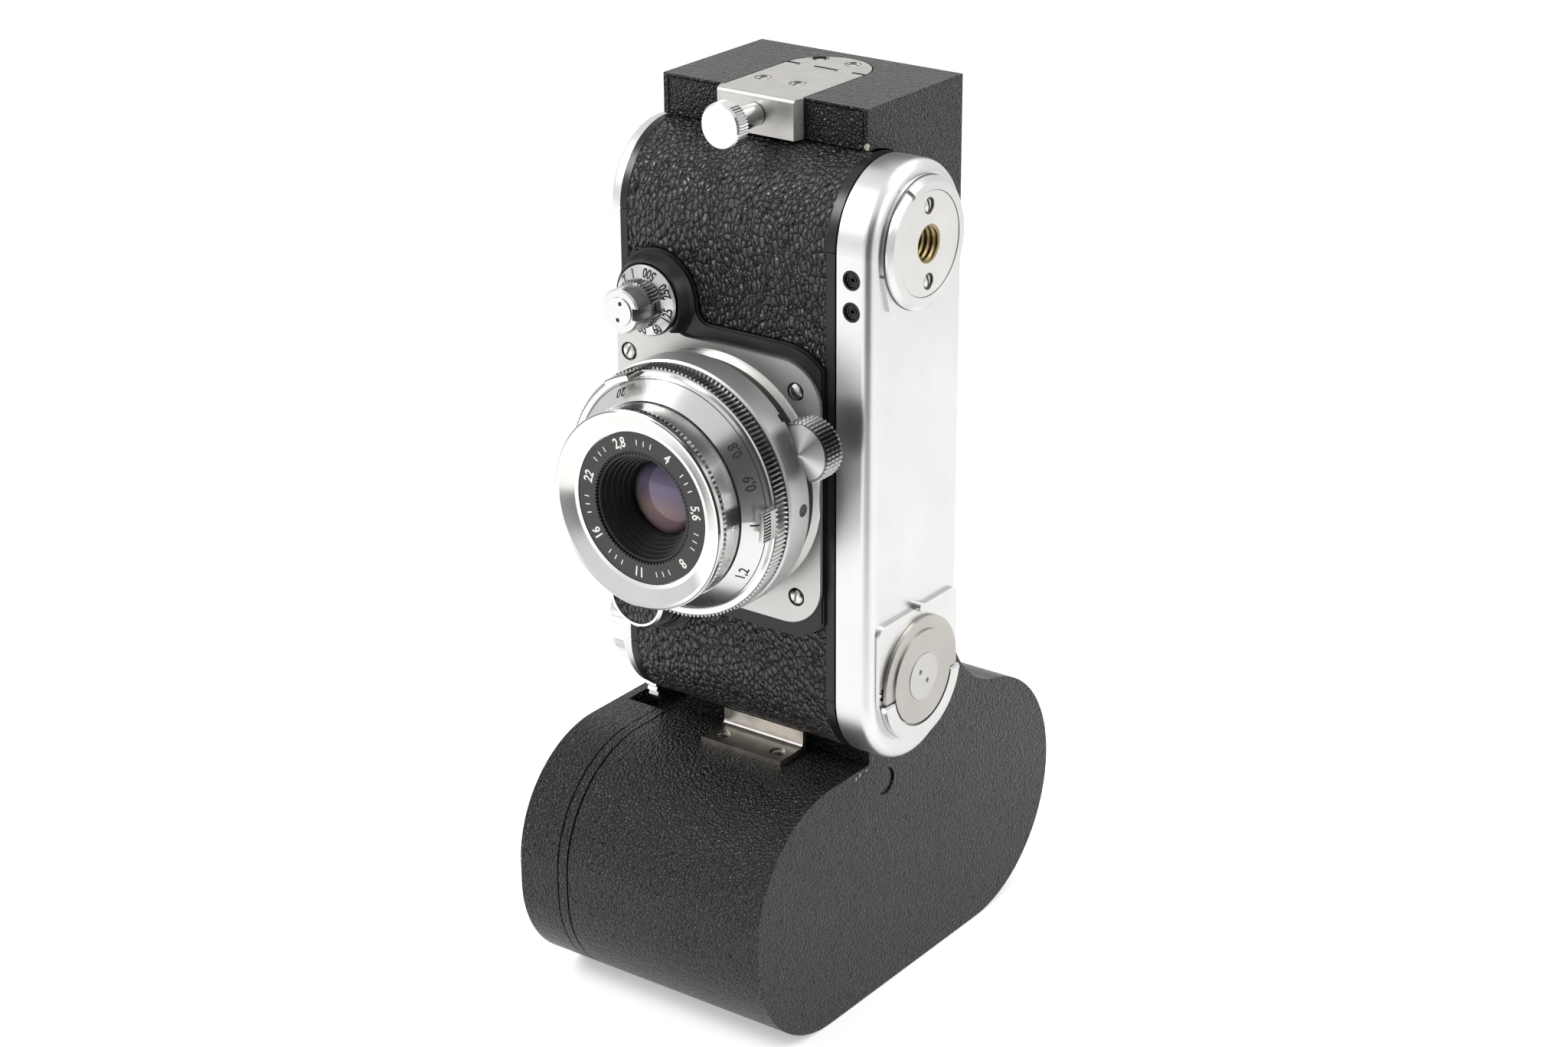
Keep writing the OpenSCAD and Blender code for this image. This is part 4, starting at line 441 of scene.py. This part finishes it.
DRESS = {
    "magazine_housing": PAINT, "magazine_lid": PAINT, "box_cover": PAINT, "box_front": PAINT,
    "body_casting": ENAMEL, "shutter_platform": ENAMEL, "port_collar": ENAMEL, "sync_sockets": ENAMEL,
    "lens_flange": ENAMEL, "name_ring": NAME_BLACK, "baffle": DARK_INSIDE, "shutter_disc": DARK_INSIDE,
    "body_leather": LEATHER, "port_inlay": LEATHER, "bottom_plate": SATIN, "top_plate": SATIN,
    "front_plate": PLATE, "front_plate_screws": PLATE_SCREW, "speed_dial": DIAL_METAL,
    "speed_knob": SPEED_METAL, "speed_cap": DIAL_METAL, "port_cap": PORT_METAL, "tripod_base": SATIN,
    "tripod_ring": RING_METAL, "tripod_disc": TRIPOD_METAL, "tripod_bush": BRASS,
    "tripod_screws": SIDE_SCREW, "lock_plate": SATIN, "lock_hub": HUB_METAL, "lock_cap": PLATE,
    "lock_key": RING_METAL, "lock_pins": STEEL,
    "winding_knob": STEEL, "spring_drum": ALUMINIUM, "release_button": STEEL, "film_sprocket": ALUMINIUM,
    "lock_ring": LOCK_RING, "lock_knob": KNOB_METAL, "focus_ring": FOCUS_METAL, "distance_cone": SATIN_LENS,
    "lens_barrel": SATIN_LENS, "aperture_ring": RIM_METAL, "lens_glass": GLASS, "hasp_leaf": SATIN_STEEL,
    "hasp_flap": SATIN_STEEL, "hasp_pin": STEEL, "hasp_leaf_screws": HASP_SCREW,
    "hasp_flap_screws": HASP_SCREW, "thumb_screw": THUMB_METAL, "thumb_screw_foot": BRASS,
    "heel_bracket": WORN_STEEL, "heel_screws": STEEL, "coupling_gear": STEEL, "lid_lock": ALUMINIUM,
    "supply_spool": ALUMINIUM, "takeup_spool": ALUMINIUM, "supply_film": FILM, "takeup_film": FILM,
    "top_roller": ALUMINIUM, "pressure_plate": ALUMINIUM,
}
# Width of the rounded edges on the solids that have them, in millimetres, and the least corner rounded
EDGES = {
    "magazine_housing": 0.7, "magazine_lid": 0.9, "box_cover": 0.45, "box_front": 0.3, "hasp_leaf": 0.15,
    "hasp_flap": 0.18, "heel_bracket": 0.25, "body_casting": 0.25, "shutter_platform": 0.25,
    "front_plate": 0.25, "tripod_base": 0.15, "lock_plate": 0.2, "lock_hub": 0.1, "lock_key": 0.2,
    "bottom_plate": 0.1, "top_plate": 0.1, "tripod_disc": 0.1,
}
EDGE_ANGLE = math.radians(40)
for name, obj in nodes.items():
    obj.data.materials.clear()
    obj.data.materials.append(DRESS[name])
    if name in EDGES:
        bevel = obj.modifiers.new("rounded_edges", "BEVEL")
        bevel.width = EDGES[name] * MM
        bevel.segments = 3
        bevel.limit_method = "ANGLE"
        bevel.angle_limit = EDGE_ANGLE


# Pieces of mesh

def put(name, bm, mat, body, smooth=40):
    """Mesh object from a bmesh in millimetres, shaded smooth up to an angle, that moves with a body."""
    bmesh.ops.recalc_face_normals(bm, faces=bm.faces)
    bmesh.ops.scale(bm, vec=(MM, MM, MM), verts=bm.verts)
    mesh = bpy.data.meshes.new(name)
    for edge in bm.edges:
        edge.smooth = len(edge.link_faces) == 2 and edge.calc_face_angle(0) < math.radians(smooth)
    for face in bm.faces:
        face.smooth = True
    bm.to_mesh(mesh)
    bm.free()
    mesh.materials.append(mat)
    obj = bpy.data.objects.new(name, mesh)
    bpy.context.scene.collection.objects.link(obj)
    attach(obj, body)
    return obj


def cross_axes(way):
    """Two directions square to an axis and to each other."""
    first = Vector((0, 0, 1)).cross(way)
    first = first.normalized() if first.length > 0.01 else Vector((1, 0, 0))
    return first, way.cross(first)


def turn_profile(bm, profile, origin, way, steps):
    """Closed ring of faces: (radius, height along the axis) points joined end to start round an axis."""
    a, b = cross_axes(way)
    rows = []
    for k in range(steps):
        t = 2 * math.pi * k / steps
        out = a * math.cos(t) + b * math.sin(t)
        rows.append([bm.verts.new(Vector(origin) + out * r + way * h) for r, h in profile])
    count = len(profile)
    for k in range(steps):
        here, there = rows[k], rows[(k + 1) % steps]
        for i in range(count):
            j = (i + 1) % count
            bm.faces.new((here[i], here[j], there[j], there[i]))


# Height of a figure in the built-in font at size 1, and how near two of its points are one, in millimetres
FIGURE_TALL, SAME_POINT = 0.69, 0.0005
# How far the ink stands out of a surface and reaches into it, in millimetres
INK = 0.03
BOX_FACES = ((0, 1, 2, 3), (4, 5, 6, 7), (0, 1, 5, 4), (1, 2, 6, 5), (2, 3, 7, 6), (3, 0, 4, 7))


def add_box(bm, corners):
    """Six faces on eight corners: four round one end, then four round the other."""
    verts = [bm.verts.new(c) for c in corners]
    for quad in BOX_FACES:
        bm.faces.new([verts[i] for i in quad])


def number_shape(text, height, narrow, bold):
    """Vertices (along, up, through) and faces of a number set in plain figures, centred on its middle."""
    curve = bpy.data.curves.new("number", "FONT")
    curve.body = text
    curve.align_x = "CENTER"
    curve.extrude = 0.5
    curve.resolution_u = 3
    curve.offset = bold
    helper = bpy.data.objects.new("number", curve)
    mesh = helper.to_mesh()
    points = [v.co.copy() for v in mesh.vertices]
    faces = [tuple(p.vertices) for p in mesh.polygons]
    helper.to_mesh_clear()
    bpy.data.objects.remove(helper)
    bpy.data.curves.remove(curve)
    scale = height / FIGURE_TALL
    points = [Vector((p.x * scale * narrow, (p.y - FIGURE_TALL / 2) * scale, p.z + 0.5)) for p in points]
    return points, faces


def write_numbers(name, marks, at, mat, body, height, narrow, bold=0.018):
    """One mesh of all numbers; at(angle, along, up, through) bends each point onto the part."""
    bm = bmesh.new()
    for text, angle in marks:
        points, faces = number_shape(text, height, narrow, bold)
        verts = [bm.verts.new(at(math.radians(angle), p.x, p.y, p.z)) for p in points]
        for face in faces:
            bm.faces.new([verts[i] for i in face])
    bmesh.ops.remove_doubles(bm, verts=bm.verts, dist=SAME_POINT)
    bmesh.ops.dissolve_degenerate(bm, edges=bm.edges, dist=SAME_POINT)
    put(name, bm, mat, body)


def radial_bar(bm, at, angle, low, high, width):
    """Short engraved bar on a part: a box whose corners at() bends into place."""
    add_box(bm, [at(math.radians(angle), s * width / 2, v, w)
                 for w in (0, 1) for s, v in ((-1, low), (1, low), (1, high), (-1, high))])


def on_dial(angle, along, up, through):
    """Point on the speed dial's shallow cone: the figures' feet are at its rim."""
    r = DIAL_FIGURES_R - up
    t = angle + along / DIAL_FIGURES_R
    depth = DIAL_D + DIAL_RISE * (DIAL_R - r) / (DIAL_R - KNOB_R) + INK * (2 * through - 1)
    return Vector((DIAL_X + r * math.cos(t), -depth, DIAL_Z + r * math.sin(t)))


def on_cone(angle, along, up, through):
    """Point on the distance cone: the figures' feet are at its wide end."""
    slope = Vector((BARREL_D - CONE_D, CONE_R - BARREL_R)).normalized()
    run = (BARREL_D - CONE_D) / 2 + up * slope.x
    r = CONE_R - (CONE_R - BARREL_R) * run / (BARREL_D - CONE_D)
    lift = INK * (2 * through - 1)
    t = angle + along / r
    out = r + lift * slope.x
    return Vector((out * math.cos(t), -(CONE_D + run + lift * slope.y), LENS_Z + out * math.sin(t)))


def on_name_ring(angle, along, up, through):
    """Point on the flat name ring: the figures' feet are at its bore."""
    r = NAME_FIGURES_R + up
    t = angle - along / NAME_FIGURES_R
    return Vector((r * math.cos(t), -(NAME_D + INK * (2 * through - 1)), LENS_Z + r * math.sin(t)))


# Figures and where their middles stand, in degrees from +X towards +Z
DIAL_MARKS = [("500", 77), ("250", 29), ("125", -18), ("60", -60), ("30", -97), ("15", -134), ("8", -165),
              ("4", 167), ("2", 141), ("1", 117)]
DISTANCES = [("0,8", 38), ("0,9", 20), ("1", -2), ("1,2", -32), ("1,5", -62), ("2", -91), ("3", -122),
             ("5", -158), ("10", 158), ("20", 118)]
OPENINGS = ["2,8", "4", "5,6", "8", "11", "16", "22"]
FIRST_OPENING, OPENING_STEP = 112, 360 / len(OPENINGS)
OPENING_MARKS = [(text, FIRST_OPENING - OPENING_STEP * k) for k, text in enumerate(OPENINGS)]
write_numbers("dial_numbers", DIAL_MARKS, on_dial, BLACK_INK_AND_SHADE, "camera", height=2.2, narrow=0.78, bold=0.032)
write_numbers("distance_numbers", DISTANCES, on_cone, BLACK_INK_AND_SHADE, "focus", height=2.5, narrow=0.85)
write_numbers("opening_numbers", OPENING_MARKS, on_name_ring, WHITE_INK, "camera", height=2.5, narrow=0.85)

# Three short ticks between two openings
TICK_SHARES = (0.36, 0.5, 0.64)
TICK_REACH, TICK_WIDTH = 0.7, 0.26
ticks = bmesh.new()
for k in range(len(OPENINGS)):
    for share in TICK_SHARES:
        radial_bar(ticks, on_name_ring, FIRST_OPENING - OPENING_STEP * (k + share), -TICK_REACH, TICK_REACH,
                   TICK_WIDTH)
put("opening_ticks", ticks, WHITE_INK, "camera")


# Painted shade in the joints: each a fine dark band that covers the gap between two turned pieces

GAP_SHADE_DEEP = 0.4


def gap_shade_ring(name, r, depth, width, body):
    """Painted shade line round the lens at a joint, of a width along its axis."""
    bm = bmesh.new()
    inside = r - GAP_SHADE_DEEP
    turn_profile(bm, [(r, depth), (r, depth + width), (inside, depth + width), (inside, depth)],
                 LENS_AXIS, FRONT, 192)
    put(name, bm, BLACK_INK_AND_SHADE, body)


def face_gap_shade_ring(name, r, face):
    """Painted shade line at a joint on a face of the tripod mount, of a width across its radius."""
    bm = bmesh.new()
    half, sunk, proud = 0.09, -0.1, 0.02
    turn_profile(bm, [(r - half, sunk), (r - half, proud), (r + half, proud), (r + half, sunk)],
                 (face, 0, TRIPOD_Z), BASE_WAY, 160)
    put(name, bm, BLACK_INK_AND_SHADE, "camera")


gap_shade_ring("cone_gap_shade", CONE_R - 0.62, CONE_D + 0.62, 0.2, "focus")
gap_shade_ring("barrel_gap_shade", BARREL_R + 0.06, BARREL_D + 0.02, 0.22, "camera")
face_gap_shade_ring("tripod_disc_gap_shade", TRIPOD_DISC_R, TRIPOD_FACE)
face_gap_shade_ring("tripod_ring_gap_shade", TRIPOD_R + 0.05, TRIPOD_BASE_FACE)


# Small fittings

TEETH = 90
TOOTH_FOOT, TOOTH_TIP = NAME_OPEN_R + 0.15, NAME_OPEN_R - 0.55
TOOTH_BACK, TOOTH_FRONT = NAME_D - 0.3, NAME_D + 0.16
# Half a tooth's width at its foot and at its tip, as shares of the pitch
FOOT_HALF, TIP_HALF = 0.3, 0.12


def retaining_teeth():
    """Retaining ring with fine teeth inside the name ring, each narrower at its tip."""
    bm = bmesh.new()
    pitch = 2 * math.pi / TEETH
    for k in range(TEETH):
        outline = [(TOOTH_FOOT, (k - FOOT_HALF) * pitch), (TOOTH_TIP, (k - TIP_HALF) * pitch),
                   (TOOTH_TIP, (k + TIP_HALF) * pitch), (TOOTH_FOOT, (k + FOOT_HALF) * pitch)]
        add_box(bm, [(r * math.cos(t), -depth, LENS_Z + r * math.sin(t))
                     for depth in (TOOTH_BACK, TOOTH_FRONT) for r, t in outline])
    return bm


# Nearest that a turned profile comes to its axis, in millimetres
CORE = 0.02
PIT_R, PIT_X, PIT_Z = 0.53, 0.4, 2.1
PIT_LOW, PIT_HIGH = -0.25, -0.15


def cap_hole_shade():
    """Painted shade in the two spanner holes of the speed knob's cap: a dark disc down in each."""
    bm = bmesh.new()
    for side in (-1, 1):
        turn_profile(bm, [(CORE, PIT_LOW), (CORE, PIT_HIGH), (PIT_R, PIT_HIGH), (PIT_R, PIT_LOW)],
                     (DIAL_X + PIT_X * side, -CAP_FACE, DIAL_Z + PIT_Z * side), FRONT, 32)
    return bm


DOT_ANGLE, DOT_R = math.radians(1.0), 0.6
DOT_D = BARREL_D + 2.6
DOT_LOW, DOT_HIGH = -0.32, -0.06


def index_dot():
    """Index dot on the barrel: a shallow filled dimple."""
    bm = bmesh.new()
    way = Vector((math.cos(DOT_ANGLE), 0, math.sin(DOT_ANGLE)))
    turn_profile(bm, [(CORE, DOT_HIGH), (DOT_R, DOT_HIGH), (DOT_R, DOT_LOW), (CORE, DOT_LOW)],
                 Vector((0, -DOT_D, LENS_Z)) + way * BARREL_R, way, 32)
    return bm


# Shares of the pitch: the flat crest, and its two flanks together
CREST_SHARE, FLANK_SHARE = 0.18, 0.64
THREAD_AROUND, THREAD_ROWS = 72, 92
MOUTH_R = THREAD_R + 0.5


def thread_radius(height, turn):
    """Bore radius of the tripod thread at a height and a turn: flat crests and roots, and sloping flanks."""
    share = (height / THREAD_PITCH + turn) % 1.0
    flank = min(1.0, max(0.0, (abs(2 * share - 1) - CREST_SHARE) / FLANK_SHARE))
    return THREAD_R + THREAD_DEEP * flank


def threaded_bush():
    """Brass bush with its real helical thread, which stands for the plain bore of the solid."""
    bm = bmesh.new()
    turns = [k / THREAD_AROUND for k in range(THREAD_AROUND)]
    rim, mouth = [BUSH_R for _ in turns], [MOUTH_R for _ in turns]
    heights = [THREAD_L * i / THREAD_ROWS for i in range(THREAD_ROWS + 1)]
    bore = [(h, [thread_radius(h, turn) for turn in turns]) for h in heights[1:-1]]
    profile = [(0, rim), (0, mouth)] + bore + [(THREAD_L, mouth), (THREAD_L, rim)]
    loops = [[bm.verts.new((TRIPOD_FACE - THREAD_L + height, r * math.cos(2 * math.pi * turn),
                            TRIPOD_Z + r * math.sin(2 * math.pi * turn))) for r, turn in zip(radii, turns)]
             for height, radii in profile]
    for i, here in enumerate(loops):
        there = loops[(i + 1) % len(loops)]
        for k in range(THREAD_AROUND):
            j = (k + 1) % THREAD_AROUND
            bm.faces.new((here[k], here[j], there[j], there[k]))
    return bm


put("retaining_teeth", retaining_teeth(), DARK_INSIDE, "camera")
put("cap_hole_shade", cap_hole_shade(), BLACK_INK_AND_SHADE, "speed")
put("index_dot", index_dot(), RED_INK, "camera")
bush = put("threaded_bush", threaded_bush(), BRASS, "camera", smooth=60)
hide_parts("tripod_bush")


# Stage: floor, flag, lights and camera, in metres

def stage_plane(name, size, at, turn=(0, 0, 0), stretch=(1, 1, 1)):
    """Flat sheet of the studio, which isn't part of the object."""
    mesh = bpy.data.meshes.new(name)
    bm = bmesh.new()
    bmesh.ops.create_grid(bm, x_segments=1, y_segments=1, size=size)
    bmesh.ops.scale(bm, vec=stretch, verts=bm.verts)
    bm.to_mesh(mesh)
    bm.free()
    obj = bpy.data.objects.new(name, mesh)
    obj.location = at
    obj.rotation_euler = turn
    bpy.context.scene.collection.objects.link(obj)
    return obj


def shown_share(tree):
    """1 for camera, glossy and transmission rays, which see the white background, and 0 for the rest."""
    path = add(tree, "LightPath")
    direct = add(tree, "Math", {"operation": "MAXIMUM"},
                 {0: (path, "Is Camera Ray"), 1: (path, "Is Transmission Ray")})
    return add(tree, "Math", {"operation": "MAXIMUM"}, {0: (direct, "Value"), 1: (path, "Is Glossy Ray")})


def paper_floor():
    # White studio paper that stays white to the camera and keeps the object's soft shadow
    mat = new_material("studio_paper")
    paper = add(mat, "BsdfDiffuse", {"Color": linear("#f4f4f4")})
    lift = add(mat, "Math", {"operation": "MULTIPLY", 1: FLOOR_LIFT}, {0: (shown_share(mat), "Value")})
    glow = add(mat, "Emission", {"Color": (1, 1, 1, 1)}, {"Strength": (lift, "Value")})
    both = add(mat, "AddShader", {}, {0: (paper, "BSDF"), 1: (glow, "Emission")})
    add(mat, "OutputMaterial", {}, {"Surface": (both, "Shader")})
    return mat


def flag_cloth():
    # Grey cloth of the studio flag, with a slight mottle
    mat = new_material("flag_cloth")
    at = place(mat)
    cloud = add(mat, "TexNoise", {"Scale": 6.0, "Detail": 3.0}, {"Vector": (at, "Vector")})
    tone = add(mat, "ValToRGB", {"stops": [(0.3, "#4c4b4a"), (0.7, "#5a5957")]}, {"Fac": (cloud, "Fac")})
    cloth = add(mat, "BsdfDiffuse", {}, {"Color": (tone, "Color")})
    add(mat, "OutputMaterial", {}, {"Surface": (cloth, "BSDF")})
    return mat


# How strongly the floor glows for the rays that see it, and how bright the room is for the rest
FLOOR_LIFT, ROOM = 0.42, 0.42
FLOOR_HALF, FLOOR_Z = 3.0, -0.0002
floor = stage_plane("floor", FLOOR_HALF, (0, 0, FLOOR_Z))
floor.data.materials.append(paper_floor())

# A grey flag between the object and the camera, which only mirrors see: it draws the dark bands in the lens
FLAG_AZIMUTH, FLAG_WAY = math.radians(33.0), 0.33
FLAG_HALF, FLAG_STRETCH = 0.19, (1, 1.25, 1)
FLAG_AT = (FLAG_WAY * math.sin(FLAG_AZIMUTH), -0.05 - FLAG_WAY * math.cos(FLAG_AZIMUTH), 0.22)
flag = stage_plane("dark_flag", FLAG_HALF, FLAG_AT, (math.pi / 2, 0, FLAG_AZIMUTH), FLAG_STRETCH)
flag.data.materials.append(flag_cloth())
flag.visible_camera = False
flag.visible_shadow = False
flag.visible_diffuse = False


def soft_lamp(name, at, aim, size, power):
    """Square softbox of a size in metres and a power in watts, turned to a point."""
    data = bpy.data.lights.new(name, "AREA")
    data.shape = "SQUARE"
    data.size = size
    data.energy = power
    obj = bpy.data.objects.new(name, data)
    obj.location = at
    obj.rotation_euler = (Vector(aim) - Vector(at)).to_track_quat("-Z", "Y").to_euler()
    bpy.context.scene.collection.objects.link(obj)


MIDDLE, BOX_TOP = (0, 0, 0.13), (0.03, 0, 0.24)
soft_lamp("key_softbox", (-0.75, -0.7, 0.95), MIDDLE, 0.5, 13)
soft_lamp("side_softbox", (1.1, -0.1, 0.75), MIDDLE, 0.6, 1.6)
soft_lamp("near_softbox", (0.5, 0.15, 0.55), BOX_TOP, 0.3, 1.5)
soft_lamp("top_softbox", (0.2, 0.45, 1.15), MIDDLE, 0.8, 4)

world = bpy.data.worlds.new("studio")
bpy.context.scene.world = world
world.use_nodes = True
world.node_tree.nodes.clear()
room = add(world, "Background", {"Color": (1, 1, 1, 1), "Strength": ROOM})
white = add(world, "Background", {"Color": (1, 1, 1, 1), "Strength": 1.0})
mix = add(world, "MixShader", {},
          {0: (shown_share(world), "Value"), 1: (room, "Background"), 2: (white, "Background")})
add(world, "OutputWorld", {}, {"Surface": (mix, "Shader")})

# Camera at the photograph's angle: azimuth, elevation and roll in degrees, and the focal length in its pixels
AZIMUTH, ELEVATION, ROLL = math.radians(36.163), math.radians(22.537), math.radians(-0.299)
CAMERA_AT = (0.443815, -0.601325, 0.437733)
FOCAL_PIXELS, PHOTO_WIDTH, SENSOR_WIDTH = 4174.7, 2048, 36.0
back = Vector((math.sin(AZIMUTH) * math.cos(ELEVATION), -math.cos(AZIMUTH) * math.cos(ELEVATION),
               math.sin(ELEVATION)))
level = Vector((0, 0, 1)).cross(back).normalized()
upright = back.cross(level)
right = level * math.cos(ROLL) + upright * math.sin(ROLL)
up = upright * math.cos(ROLL) - level * math.sin(ROLL)
cam_data = bpy.data.cameras.new("photo_camera")
cam_data.sensor_width = SENSOR_WIDTH
cam_data.lens = FOCAL_PIXELS / PHOTO_WIDTH * SENSOR_WIDTH
cam_data.clip_start = 0.05
camera = bpy.data.objects.new("photo_camera", cam_data)
camera.matrix_world = Matrix.Translation(CAMERA_AT) @ Matrix((right, up, back)).transposed().to_4x4()
bpy.context.scene.collection.objects.link(camera)
bpy.context.scene.camera = camera
bpy.context.scene.view_settings.view_transform = "Standard"
